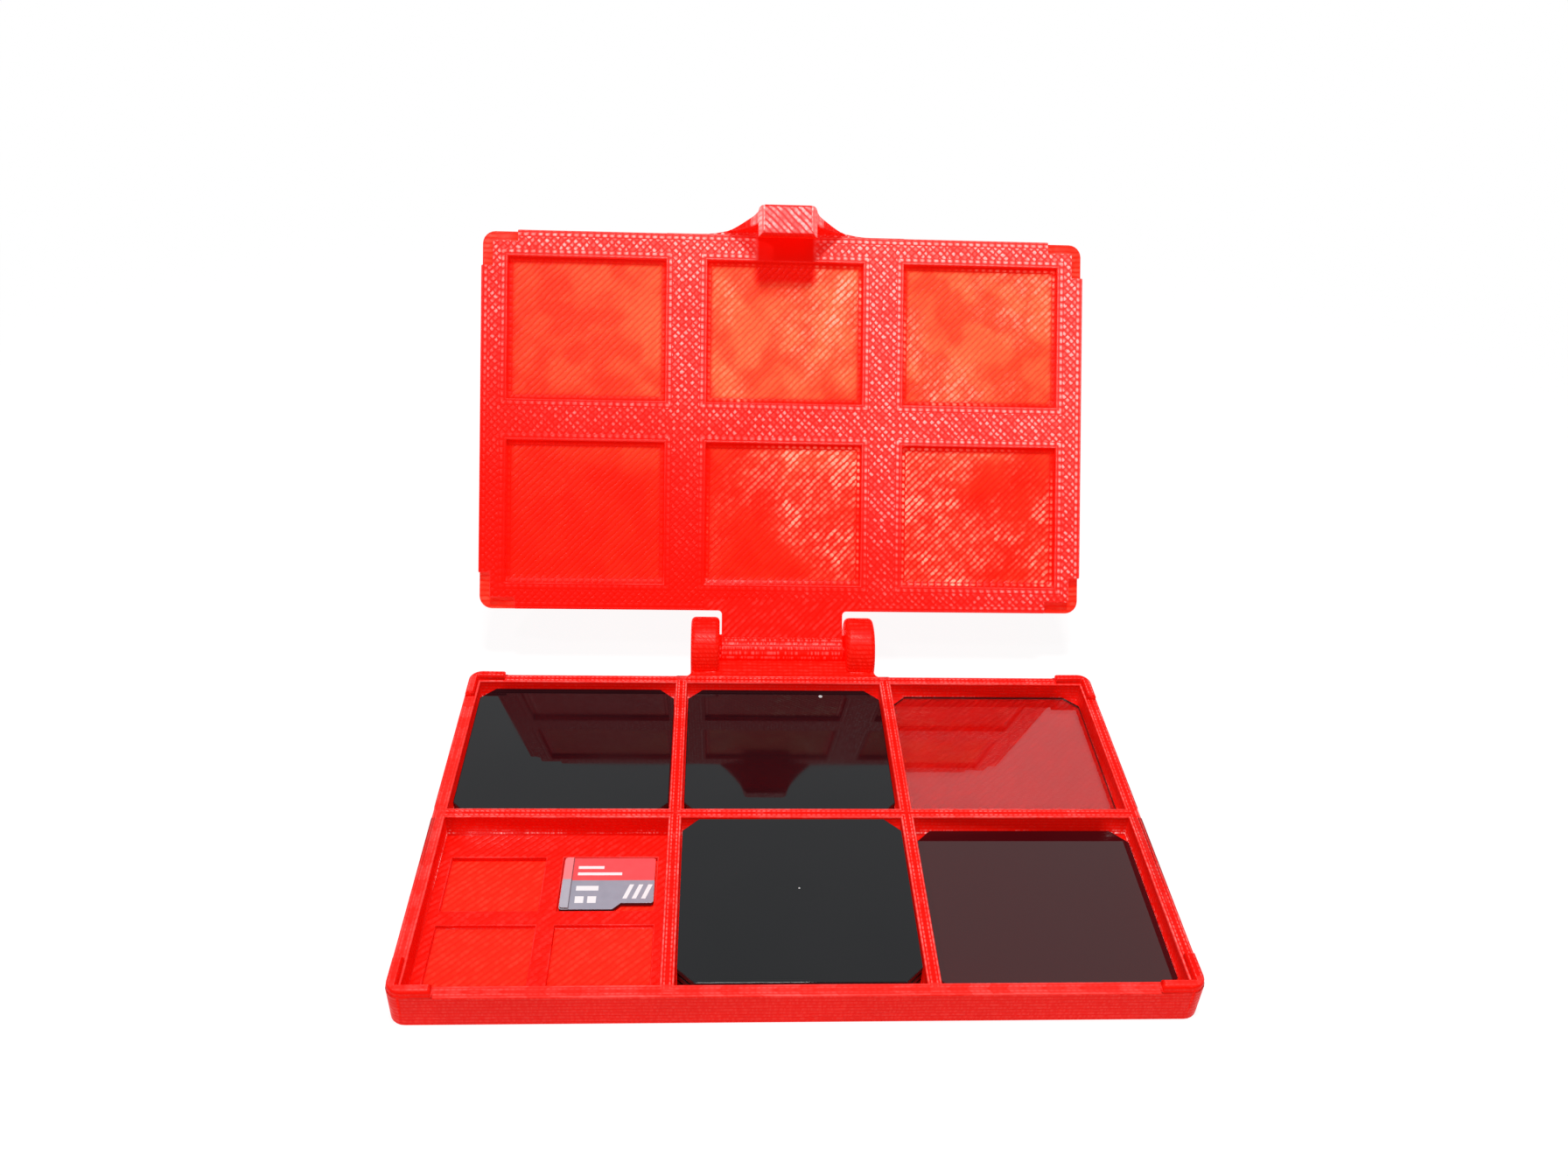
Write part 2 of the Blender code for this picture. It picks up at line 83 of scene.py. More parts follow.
# Places without room for a rounding: round the corner ribs, and along the flare of the hook
RIB_FOOT = 5.5 * MM
RIB_AREA_X, RIB_AREA_Y = 53 * MM, 30 * MM
RIB_FLANK_X, RIB_FLANK_Y = 58.1 * MM, 35.4 * MM
FLARE_START_X, FLARE_END_X = 5 * MM, 18 * MM
FLARE_Y = 37.3 * MM
FLARE_BELOW = 3.0 * MM

# Roundings, seams and shading
EDGE_ROUNDING = 0.2 * MM
PANE_ROUNDING = 0.12 * MM
CARD_ROUNDING = 0.06 * MM
ROUNDING_STEPS = 2
ROUNDING_ROOM = 1.2
CIRCULAR = 0.5
MERGE_DISTANCE = 0.001 * MM
FLAT_ANGLE = math.radians(1)
SHARP_ANGLE = math.radians(35)
CREASE_ANGLE = math.radians(50)
EVEN_SHADING = 100

# Beads of the print, and the depths of the grooves between them
BEAD_PAIR = 1.0 * MM
LAYER_PAIR = 0.7 * MM
PERIMETER = 0.45 * MM
TURNS_WIDTH = 0.9 * MM
STITCH = 1.41 * MM
FILL_ANGLE = 45
LAYER_GROOVE = 0.035 * MM
RIM_GROOVE = 0.1 * MM
BARREL_GROOVE = 0.09 * MM
BORDER_GROOVE = 0.14 * MM
RECESS_GROOVE = 0.11 * MM
HOOK_GROOVE = 0.16 * MM
FLOOR_GROOVE = 0.08 * MM
SHALLOW_GROOVE = 0.05 * MM
FAINT_GROOVE = 0.03 * MM
GLASSY_GROOVE = 0.02 * MM

# Octaves of noise
COARSE, MIDDLING, FINE = 1.0, 2.0, 3.0

# Colours
RED = (0.76, 0.009, 0.003)
# Painted shade in the grooves between beads
DEEP_RED = (0.7, 0.002, 0.001)
# A lit red for the tray's outer walls, and a red with painted shade for its cell walls
LIT_OUTSIDE_RED = (0.93, 0.013, 0.004)
SHADED_INSIDE_RED = (0.56, 0.005, 0.002)
THIN_RED = (0.88, 0.009, 0.001)
# Pale pink of the painted sheen, also used for edge wear
PINK = (1.0, 0.52, 0.49)
# Paler red of the painted sheen on the lid's borders towards one corner
PAINTED_SHEEN_RED = (0.86, 0.15, 0.13)
# Deep red of the hook's painted shadow on the lid
HOOK_SHADOW_RED = (0.72, 0.003, 0.001)
# Orange of the painted light through the lid's thin floors
ORANGE = (0.93, 0.27, 0.095)
DEEP_ORANGE = (0.78, 0.028, 0.007)
PALE_ORANGE = (1.0, 0.46, 0.32)
THIN_FLOOR_RED = (0.9, 0.026, 0.01)
THIN_NOTCH_RED = (0.86, 0.05, 0.025)
PIN_RED = (0.55, 0.008, 0.005)

# Colours of a plastic finish: its beads, painted shade in the grooves between them, and painted sheen on
# top, which also colours edge wear
RED_COLOURS = (RED, DEEP_RED, PINK)
# Painted sheen on the hook end, and painted highlights on the hook's rounded edges
HOOK_SHEEN_COLOURS = ((0.82, 0.13, 0.13), (0.75, 0.04, 0.04), (1.0, 0.62, 0.6))
EDGE_HIGHLIGHT_COLOURS = ((0.9, 0.32, 0.3), (0.8, 0.1, 0.1), (1.0, 0.8, 0.78))
NOTCH_COLOURS = (THIN_NOTCH_RED, THIN_RED, PALE_ORANGE)
POCKET_COLOURS = (THIN_FLOOR_RED, RED, PALE_ORANGE)
PIN_COLOURS = (PIN_RED, DEEP_RED, PINK)

# Painted glow: a red emission keeps the shadows of the plastic red, though the plastic is no lamp. Gloss
# and painted glow of each piece
PAINTED_GLOW_RED = (1.0, 0.004, 0.0)
LID_GLOSS_AND_GLOW = (0.14, 0.42)
TRAY_GLOSS_AND_GLOW = (0.1, 0.27)
PLASTIC_IOR = 1.47

# From the lid as it stands open to the lid as it was printed, on its outer face, its hook towards +Y
LID_TO_PRINT = (
    Matrix.Translation((0, -AXIS_Y, LID_THICKNESS))
    @ Matrix.Rotation(OPEN_ANGLE - math.pi, 4, "X")
    @ Matrix.Translation((0, -AXIS_Y, -AXIS_Z))
)


def rgba(colour):
    """A colour with its alpha. The output of a node stays as it is."""
    return colour if isinstance(colour, bpy.types.NodeSocket) else (*colour, 1.0)


class Tree:
    """Adds nodes to a tree. Inputs take values or the outputs of other nodes."""

    def __init__(self, tree):
        self.tree = tree
        tree.nodes.clear()

    def fill(self, node, inputs):
        for name, value in inputs.items():
            if isinstance(value, bpy.types.NodeSocket):
                self.tree.links.new(value, node.inputs[name])
            else:
                node.inputs[name].default_value = value
        return node

    def add(self, kind, inputs, **settings):
        node = self.tree.nodes.new("ShaderNode" + kind)
        for name, value in settings.items():
            setattr(node, name, value)
        return self.fill(node, inputs)

    def group(self, name, inputs):
        node = self.tree.nodes.new("ShaderNodeGroup")
        node.node_tree = bpy.data.node_groups[name]
        return self.fill(node, inputs).outputs

    def coords(self):
        return self.add("TexCoord", {}).outputs["Object"]

    def math(self, operation, *values, clamp=False):
        return self.add("Math", dict(enumerate(values)), operation=operation, use_clamp=clamp).outputs[0]

    def times(self, first, *others):
        for other in others:
            first = self.math("MULTIPLY", first, other)
        return first

    def plus(self, a, b):
        return self.math("ADD", a, b)

    def minus(self, a, b):
        return self.math("SUBTRACT", a, b)

    def absolute(self, value):
        return self.math("ABSOLUTE", value)

    def below(self, value, limit):
        """1 where a value is below a limit, else 0."""
        return self.math("LESS_THAN", value, limit)

    def scaled(self, value, factor, start):
        """A value times a factor, added to a start."""
        return self.math("MULTIPLY_ADD", value, factor, start)

    def split(self, vector):
        return self.add("SeparateXYZ", {0: vector}).outputs

    def join(self, x, y, z=0.0):
        return self.add("CombineXYZ", {0: x, 1: y, 2: z}).outputs[0]

    def noise(self, vector, scale, detail=MIDDLING):
        return self.add("TexNoise", {"Vector": vector, "Scale": scale, "Detail": detail}).outputs[0]

    def wander(self, vector, scale, detail):
        """Noise about zero."""
        return self.minus(self.noise(vector, scale, detail), 0.5)

    def spread(self, value, low, high, to_low=0.0, to_high=1.0):
        """Maps low..high of a value smoothly to to_low..to_high."""
        inputs = {"Value": value, 1: low, 2: high, 3: to_low, 4: to_high}
        return self.add("MapRange", inputs, interpolation_type="SMOOTHSTEP").outputs[0]

    def blend(self, share, a, b):
        """A mix of two values."""
        return self.add("Mix", {0: share, 2: a, 3: b}, data_type="FLOAT").outputs[0]

    def paint(self, share, a, b):
        """A mix of two colours."""
        return self.add("Mix", {0: share, 6: rgba(a), 7: rgba(b)}, data_type="RGBA").outputs[2]

    def ridges(self, count):
        """Round crests with sharp grooves between them, one for each whole number of a count."""
        return self.absolute(self.math("SINE", self.times(count, math.pi)))

    def turned(self, vector, degrees):
        inputs = {"Vector": vector, "Rotation": (0.0, 0.0, math.radians(degrees))}
        return self.add("Mapping", inputs, vector_type="POINT").outputs[0]

    def finish(self, shader, kind="OutputMaterial"):
        self.add(kind, {"Surface": shader})


def new_group(name, inputs, outputs):
    """An empty node group with named sockets, as its tree, its given values and its results."""
    group = bpy.data.node_groups.new(name, "ShaderNodeTree")
    for key, value in inputs.items():
        kind = "Float"
        if value is None:
            kind = "Vector"
        elif isinstance(value, tuple):
            kind = "Color"
        socket = group.interface.new_socket(key, in_out="INPUT", socket_type="NodeSocket" + kind)
        if value is not None:
            socket.default_value = rgba(value) if kind == "Color" else value
    for key in outputs:
        kind = {"Color": "Color", "Normal": "Vector"}.get(key, "Float")
        group.interface.new_socket(key, in_out="OUTPUT", socket_type="NodeSocket" + kind)
    tree = Tree(group)
    given = group.nodes.new("NodeGroupInput").outputs
    result = group.nodes.new("NodeGroupOutput")
    return tree, given, result


SWAY_SCALE = 350.0
FINE_SWAY_SCALE = 1500.0
FINE_SWAY = 0.7
BEADS_IN_PAIR = 2.0
SINGLE_BEADS = 0.12
WEAVE_GAIN = 1.2
ROW_SHIFT = 7.31
TONE = (0.3, 0.7)


def make_beads_group():
    """Printed beads side by side, in pairs. X of the vector runs across them, Y along them."""
    tree, given, result = new_group(
        "beads",
        {"Vector": None, "Pair": BEAD_PAIR, "Wander": 0.45, "Weave": 0.2, "Breaks": 0.3, "Patch": 0.4},
        ("Height", "Tone"),
    )
    x, y, z = tree.split(given["Vector"])
    sway = tree.wander(given["Vector"], SWAY_SCALE, COARSE)
    fine = tree.wander(given["Vector"], FINE_SWAY_SCALE, COARSE)
    sway = tree.times(tree.scaled(fine, FINE_SWAY, sway), given["Wander"])
    across = tree.plus(tree.math("DIVIDE", x, given["Pair"]), sway)
    along = tree.plus(tree.math("DIVIDE", y, given["Pair"]), sway)
    rows = tree.blend(SINGLE_BEADS, tree.ridges(across), tree.ridges(tree.times(across, BEADS_IN_PAIR)))
    woven = tree.times(rows, tree.ridges(along), WEAVE_GAIN)
    height = tree.blend(given["Weave"], rows, woven)
    row = tree.times(tree.math("FLOOR", across), ROW_SHIFT)
    spot = tree.join(row, tree.times(along, given["Patch"]), z)
    tone = tree.spread(tree.noise(spot, 1.0, COARSE), *TONE)
    dip = tree.times(tree.minus(1.0, tone), given["Breaks"])
    tree.fill(result, {"Height": tree.times(height, tree.minus(1.0, dip)), "Tone": tone})


def make_cells_group():
    """How far a point on a printed top lies outside the nearest opening and inside the outline."""
    tree, given, result = new_group(
        "cells",
        {"Vector": None, "Opening Width": CELL_WIDTH, "Opening Depth": CELL_DEPTH},
        ("From Opening", "From Edge", "Along"),
    )
    x, y, _ = tree.split(given["Vector"])
    local_x = tree.math("WRAP", x, PITCH_X / 2, -PITCH_X / 2)
    local_y = tree.math("WRAP", tree.plus(y, PITCH_Y / 2), PITCH_Y / 2, -PITCH_Y / 2)
    beyond = [
        tree.minus(tree.absolute(local), tree.times(given[size], 0.5))
        for local, size in ((local_x, "Opening Width"), (local_y, "Opening Depth"))
    ]
    opening = tree.math("MAXIMUM", *beyond)
    left_x = tree.minus(TRAY_WIDTH / 2, tree.absolute(x))
    left_y = tree.minus(TRAY_DEPTH / 2, tree.absolute(y))
    edge = tree.math("MINIMUM", opening, tree.math("MINIMUM", left_x, left_y))
    along = tree.blend(tree.math("GREATER_THAN", *beyond), x, y)
    tree.fill(result, {"From Opening": opening, "From Edge": edge, "Along": along})


def make_stitches_group():
    """A row of dots beside an edge, where the beads turn round."""
    tree, given, result = new_group(
        "stitches",
        {"Distance": 0.0, "Along": 0.0, "Start": 0.0, "Depth": PERIMETER, "Spacing": STITCH, "Dots": 0.6},
        ("Height", "Inside"),
    )
    share = tree.math("DIVIDE", tree.minus(given["Distance"], given["Start"]), given["Depth"])
    inside = tree.below(tree.absolute(tree.minus(share, 0.5)), 0.5)
    crest = tree.ridges(tree.math("MULTIPLY", share, 1.0, clamp=True))
    dot = tree.ridges(tree.math("DIVIDE", given["Along"], given["Spacing"]))
    height = tree.times(crest, tree.blend(given["Dots"], 1.0, dot))
    tree.fill(result, {"Height": height, "Inside": inside})


MOTTLE_SCALE = 90.0
# Strengths of the painted shade in the grooves and of the painted sheen on the crests
GROOVE_STRENGTH = 0.8
SHEEN_STRENGTH = 0.35
SHEEN_BY_TONE = (0.1, 1.0, 0.35)
SHEEN_BY_HEIGHT = (0.35, 1.1)
WEAR_BY_MOTTLE = (0.4, 0.65, 0.0, 0.06)
SHADE_BY_MOTTLE = (0.3, 0.7, 0.94, 1.03)
ROUGHNESS_BY_TONE = (0.0, 1.0, 0.45, 0.33)
GRAIN_SCALE = 5000.0
GRAIN_HEIGHT = 0.08


def make_plastic_group():
    """Colour, roughness and normal of printed plastic, from its beads: painted shade in grooves, painted
    sheen on crests, edge wear.
    """
    tree, given, result = new_group(
        "printed plastic",
        {
            "Vector": None,
            "Height": 1.0,
            "Tone": 0.5,
            "Depth": FLOOR_GROOVE,
            "Body": RED,
            "Groove": DEEP_RED,
            "Painted Sheen And Wear": PINK,
            "Painted Sheen Share": 0.3,
        },
        ("Color", "Roughness", "Normal"),
    )
    mottle = tree.noise(given["Vector"], MOTTLE_SCALE, FINE)
    # Painted shade: the grooves between the beads turn darker
    deep = tree.math("SUBTRACT", 1.0, given["Height"], clamp=True)
    colour = tree.paint(tree.times(deep, GROOVE_STRENGTH), given["Body"], given["Groove"])
    # Painted sheen: crests and pale tones turn towards the sheen colour
    painted_sheen = tree.times(
        tree.spread(given["Tone"], *SHEEN_BY_TONE),
        tree.spread(given["Height"], *SHEEN_BY_HEIGHT),
        tree.times(given["Painted Sheen Share"], SHEEN_STRENGTH),
    )
    colour = tree.paint(painted_sheen, colour, given["Painted Sheen And Wear"])
    edge = tree.add("Attribute", {}, attribute_name="edge").outputs["Fac"]
    worn = tree.times(edge, tree.spread(mottle, *WEAR_BY_MOTTLE))
    colour = tree.paint(worn, colour, given["Painted Sheen And Wear"])
    shade = tree.spread(mottle, *SHADE_BY_MOTTLE)
    colour = tree.add("HueSaturation", {"Color": colour, "Value": shade}).outputs[0]
    gloss = tree.spread(given["Tone"], *ROUGHNESS_BY_TONE)
    relief = tree.scaled(tree.noise(given["Vector"], GRAIN_SCALE), GRAIN_HEIGHT, given["Height"])
    bump = tree.add("Bump", {"Height": relief, "Strength": 1.0, "Distance": given["Depth"]}).outputs[0]
    tree.fill(result, {"Color": colour, "Roughness": gloss, "Normal": bump})


HOOK_HALF_WIDTH = 5.75 * MM
# The hook's painted shadow on the lid below it: where it starts and how its edges fade
HOOK_SHADOW_START = 28.2 * MM
HOOK_SHADOW_ACROSS = (HOOK_HALF_WIDTH - 0.5 * MM, HOOK_HALF_WIDTH + 1.2 * MM, 1.0, 0.0)
HOOK_SHADOW_UP = (HOOK_SHADOW_START - 1.0 * MM, HOOK_SHADOW_START + 1.0 * MM)


def make_shelter_group():
    """A mask for the hook's painted shadow on the lid below it: painted deep red, with flatter beads and no
    sheen.
    """
    tree, given, result = new_group("painted hook shadow", {"Vector": None}, ("Mask",))
    x, y, _ = tree.split(given["Vector"])
    across = tree.spread(tree.absolute(x), *HOOK_SHADOW_ACROSS)
    tree.fill(result, {"Mask": tree.times(across, tree.spread(y, *HOOK_SHADOW_UP))})


SPECK_SIZES = (0.4, 1.0, 0.02, 0.075)


def make_dust_group():
    """Specks of dust on glass, as a mask."""
    tree, given, result = new_group(
        "dust", {"Vector": None, "Scale": 120.0, "Amount": 0.1, "Shift": 0.0}, ("Mask",)
    )
    shift = tree.join(given["Shift"], given["Shift"])
    place = tree.add("VectorMath", {0: given["Vector"], 1: shift}, operation="ADD").outputs[0]
    cells = tree.add("TexVoronoi", {"Vector": place, "Scale": given["Scale"]}).outputs
    pick = tree.split(cells["Color"])
    kept = tree.below(pick[0], given["Amount"])
    speck = tree.below(cells["Distance"], tree.spread(pick[1], *SPECK_SIZES))
    tree.fill(result, {"Mask": tree.times(kept, speck)})


SMEAR_SCALE = 60.0
SMEAR_COLOUR = (0.02, 0.018, 0.02)
SMEAR_STRENGTH = (0.3, 0.7, 0.0, 0.06)
SMEAR_ROUGHNESS = (0.35, 0.7, 0.015, 0.05)
DARK_GLASS_DUST_SCALE = 150.0
DUST_COLOUR = (0.5, 0.52, 0.52)
DUST_ROUGHNESS = 0.6


def make_dark_glass_group():
    """Colour and roughness of dark polished glass with smears and specks of dust."""
    tree, given, result = new_group(
        "dusty dark glass",
        {"Vector": None, "Tint": SMEAR_COLOUR, "Dust": 0.1, "Shift": 0.0},
        ("Color", "Roughness"),
    )
    dust = {"Vector": given["Vector"], "Amount": given["Dust"], "Shift": given["Shift"]}
    mask = tree.group("dust", {**dust, "Scale": DARK_GLASS_DUST_SCALE})["Mask"]
    smear = tree.noise(given["Vector"], SMEAR_SCALE, FINE)
    tint = tree.paint(tree.spread(smear, *SMEAR_STRENGTH), given["Tint"], SMEAR_COLOUR)
    gloss = tree.blend(mask, tree.spread(smear, *SMEAR_ROUGHNESS), DUST_ROUGHNESS)
    tree.fill(result, {"Color": tree.paint(mask, tint, DUST_COLOUR), "Roughness": gloss})


def make_grain_group():
    """Fine grain of a moulded or a ground surface, as a value and as a normal."""
    tree, given, result = new_group(
        "fine grain",
        {"Vector": None, "Scale": 4000.0, "Strength": 0.5, "Depth": 0.01 * MM},
        ("Grain", "Normal"),
    )
    grain = tree.noise(given["Vector"], given["Scale"], FINE)
    inputs = {"Height": grain, "Strength": given["Strength"], "Distance": given["Depth"]}
    tree.fill(result, {"Grain": grain, "Normal": tree.add("Bump", inputs).outputs[0]})


def print_frame_vector(tree, lid):
    """Object coordinates of a printed piece, turned into its print frame."""
    coords = tree.coords()
    if not lid:
        return coords
    move, turn, _ = LID_TO_PRINT.decompose()
    inputs = {"Vector": coords, "Location": move, "Rotation": turn.to_euler()}
    return tree.add("Mapping", inputs, vector_type="POINT").outputs[0]


def new_material(name):
    material = bpy.data.materials.new(name)
    material.use_nodes = True
    return material, Tree(material.node_tree)


def finish_plastic(tree, vector, height, tone, depth, colours, share, surface):
    """Printed plastic as a material's surface, from beads, colours, and gloss and a painted red glow."""
    body, groove, painted_sheen = colours
    gloss, glow = surface
    look = tree.group(
        "printed plastic",
        {
            "Vector": vector,
            "Height": height,
            "Tone": tone,
            "Depth": depth,
            "Body": rgba(body),
            "Groove": rgba(groove),
            "Painted Sheen And Wear": rgba(painted_sheen),
            "Painted Sheen Share": share,
        },
    )
    shader = tree.add(
        "BsdfPrincipled",
        {
            "Base Color": look["Color"],
            "Roughness": look["Roughness"],
            "Normal": look["Normal"],
            "IOR": PLASTIC_IOR,
            "Specular IOR Level": gloss,
            # Painted glow: red emission, though the plastic is no lamp
            "Emission Color": rgba(PAINTED_GLOW_RED),
            "Emission Strength": glow,
        },
    )
    tree.finish(shader.outputs[0])


WALL_BEADS = {"Pair": LAYER_PAIR, "Wander": 0.3, "Weave": 0.0, "Breaks": 0.5, "Patch": 1.6}
# Painted sheen on the sides, and painted highlight dashes along the feet of the cell walls
WALL_SHEEN = 0.1
FOOT_FROM = (2.0 * MM, 2.3 * MM)
FOOT_HIGHLIGHT = (2.5 * MM, 3.3 * MM, 4.0, 0.0)
FOOT_DASH_SCALE = 150.0
FOOT_DASHES = (0.42, 0.62)


def make_wall_material(name, lid):
    """Sides, with the edges of the printed layers. In the tray's cells, painted shade, and painted
    highlight dashes along their feet.
    """
    material, tree = new_material(name)
    vector = print_frame_vector(tree, lid)
    x, y, z = tree.split(vector)
    beads = tree.group("beads", {"Vector": tree.join(z, tree.plus(x, y)), **WALL_BEADS})
    share, colours, surface = WALL_SHEEN, RED_COLOURS, LID_GLOSS_AND_GLOW
    if not lid:
        inside = tree.times(
            tree.below(tree.absolute(y), TRAY_DEPTH / 2 - WALL / 2),
            tree.below(tree.absolute(x), TRAY_WIDTH / 2 - WALL / 2),
        )
        # Painted highlight: pale dashes along the feet of the cell walls
        foot = tree.times(
            tree.spread(z, *FOOT_FROM),
            tree.spread(z, *FOOT_HIGHLIGHT),
            tree.spread(tree.noise(vector, FOOT_DASH_SCALE), *FOOT_DASHES),
        )
        share = tree.scaled(inside, foot, WALL_SHEEN)
        # Painted shade: cell walls darker than the lit outer walls
        colours = (tree.paint(inside, LIT_OUTSIDE_RED, SHADED_INSIDE_RED), DEEP_RED, PINK)
        surface = TRAY_GLOSS_AND_GLOW
    finish_plastic(tree, vector, beads["Height"], beads["Tone"], LAYER_GROOVE, colours, share, surface)
    return material


RIM_BEADS = {"Pair": 2 * STITCH, "Weave": 0.0, "Breaks": 0.5, "Patch": 2.5}
RIM_OUTER_DOTS = 0.35
RIM_INNER_DOTS = {"Dots": 0.6, "Spacing": 0.6 * STITCH}
RIM_FILL_HEIGHT = 0.6
# Painted sheen on the rims, less of it at left and front
RIM_SHEEN = 1.0
PLAIN_RIM_SHEEN = 0.6
PLAIN_RIM_HEIGHT = 0.75
PLAIN_RIM_STRENGTH = 0.7


def make_rim_material():
    """Tops of the tray's walls: beads along each edge and short ones across, with painted sheen. Plainer at
    left and front.
    """
    material, tree = new_material("tray rims")
    vector = print_frame_vector(tree, False)
    cells = tree.group("cells", {"Vector": vector})
    side = {"Distance": cells["From Edge"], "Along": cells["Along"]}
    outer = tree.group("stitches", {**side, "Start": 0.0, "Dots": RIM_OUTER_DOTS})
    inner = tree.group("stitches", {**side, "Start": PERIMETER, **RIM_INNER_DOTS})
    slanted = tree.plus(cells["Along"], cells["From Edge"])
    fill = tree.group("beads", {"Vector": tree.join(slanted, cells["From Edge"]), **RIM_BEADS})
    height = tree.blend(inner["Inside"], tree.times(fill["Height"], RIM_FILL_HEIGHT), inner["Height"])
    height = tree.blend(outer["Inside"], height, outer["Height"])
    x, y, _ = tree.split(vector)
    at_left = tree.below(x, WALL - TRAY_WIDTH / 2)
    at_front = tree.below(y, WALL - TRAY_DEPTH / 2)
    plain = tree.math("MAXIMUM", at_left, at_front)
    height = tree.blend(tree.times(plain, PLAIN_RIM_STRENGTH), height, PLAIN_RIM_HEIGHT)
    share = tree.blend(plain, RIM_SHEEN, PLAIN_RIM_SHEEN)
    finish_plastic(tree, vector, height, fill["Tone"], RIM_GROOVE, RED_COLOURS, share, TRAY_GLOSS_AND_GLOW)
    return material


BARREL_BEADS = {"Pair": BEAD_PAIR, "Wander": 0.15, "Weave": 0.0, "Breaks": 0.6, "Patch": 2.0}
# Painted sheen on the barrel
BARREL_SHEEN = 0.8


def make_barrel_material():
    """The hinge barrel, with its beads laid along it and painted sheen on them."""
    material, tree = new_material("hinge barrel")
    vector = print_frame_vector(tree, True)
    x, y, z = tree.split(vector)
    turn = tree.math("ARCTAN2", tree.minus(z, LID_THICKNESS), tree.plus(y, AXIS_Y))
    beads = tree.group("beads", {"Vector": tree.join(tree.times(turn, BARREL_RADIUS), x), **BARREL_BEADS})
    height, tone = beads["Height"], beads["Tone"]
    finish_plastic(tree, vector, height, tone, BARREL_GROOVE, RED_COLOURS, BARREL_SHEEN, LID_GLOSS_AND_GLOW)
    return material


BORDER_BEADS = {"Weave": 0.85, "Breaks": 0.5, "Patch": 1.0}
BORDER_OUTER_DOTS = 0.3
BORDER_OUTER_HEIGHT = 0.55
CORNER_LEAN = 0.5
CORNER_SCALE = 60.0
CORNER_UNEVEN = 30 * MM
# Painted sheen towards one corner: its share, deeper beads and a paler body
CORNER_SHEEN = (-55 * MM, 60 * MM, 0.1, 5.0)
CORNER_HEIGHT = (-45 * MM, 5 * MM, 0.55, 1.0)
CORNER_SHEEN_TINT = (-45 * MM, 55 * MM)
# Flatter beads in the hook's painted shadow
HOOK_SHADOW_HEIGHT = 0.8


def make_border_material():
    """The lid's inner face round its recesses: slanted beads, rougher and with more painted sheen towards
    one corner.
    """
    material, tree = new_material("lid borders")
    vector = print_frame_vector(tree, True)
    openings = {"Opening Width": RECESS_WIDTH, "Opening Depth": RECESS_LENGTH}
    cells = tree.group("cells", {"Vector": vector, **openings})
    side = {"Distance": cells["From Edge"], "Along": cells["Along"]}
    outer = tree.group("stitches", {**side, "Start": 0.0, "Dots": BORDER_OUTER_DOTS})
    turns = tree.group("stitches", {**side, "Start": PERIMETER, "Depth": TURNS_WIDTH, "Dots": 1.0})
    fill = tree.group("beads", {"Vector": tree.turned(vector, FILL_ANGLE), **BORDER_BEADS})
    height = tree.blend(turns["Inside"], fill["Height"], turns["Height"])
    height = tree.blend(outer["Inside"], height, tree.times(outer["Height"], BORDER_OUTER_HEIGHT))
    x, y, _ = tree.split(vector)
    uneven = tree.wander(vector, CORNER_SCALE, MIDDLING)
    towards_corner = tree.scaled(uneven, CORNER_UNEVEN, tree.scaled(x, CORNER_LEAN, y))
    height = tree.times(height, tree.spread(towards_corner, *CORNER_HEIGHT))
    # Painted sheen: the body turns paler towards the corner
    body = tree.paint(tree.spread(towards_corner, *CORNER_SHEEN_TINT), RED, PAINTED_SHEEN_RED)
    # Painted shadow of the hook: deep red, flatter beads and no painted sheen
    hook_shadow = tree.group("painted hook shadow", {"Vector": vector})["Mask"]
    open_to_light = tree.minus(1.0, hook_shadow)
    share = tree.times(tree.spread(towards_corner, *CORNER_SHEEN), open_to_light)
    height = tree.blend(open_to_light, HOOK_SHADOW_HEIGHT, height)
    colours = (tree.paint(hook_shadow, body, HOOK_SHADOW_RED), DEEP_RED, PINK)
    finish_plastic(tree, vector, height, fill["Tone"], BORDER_GROOVE, colours, share, LID_GLOSS_AND_GLOW)
    return material


RECESS_BREAKS = 0.25
ROUGH_SCALE = 45.0
ROUGH_AREAS = (0.36, 0.6)
ROUGH_ACROSS = (-30 * MM, 5 * MM, 0.15, 1.0)
SMOOTH_WEAVE, ROUGH_WEAVE = 0.05, 0.3
SMOOTH_HEIGHT, ROUGH_HEIGHT = 0.5, 1.0
# Painted light through the thin floors: orange away from the hinge and the left
WARMTH_SCALE = 75.0
WARMTH_UNEVEN = 25 * MM
WARMTH_UP = (-14 * MM, 14 * MM, 0.12, 1.0)
WARMTH_ACROSS = (-70 * MM, -5 * MM, 0.3, 1.0)
# Painted shade: the floors stay red along the recess edges
WARMTH_INWARDS = (0.3 * MM, 1.6 * MM, 0.05, 1.0)
SPOT_SCALE = 160.0
SPOTS = (0.36, 0.62, 0.5, 1.0)
# Painted sheen on the floors' rough areas, part of it in clusters
CLUSTER_SCALE = 110.0
CLUSTERS = (0.55, 0.66, 0.0, 4.0)
RECESS_SHEEN = 0.1
ROUGH_SHEEN = 2.0


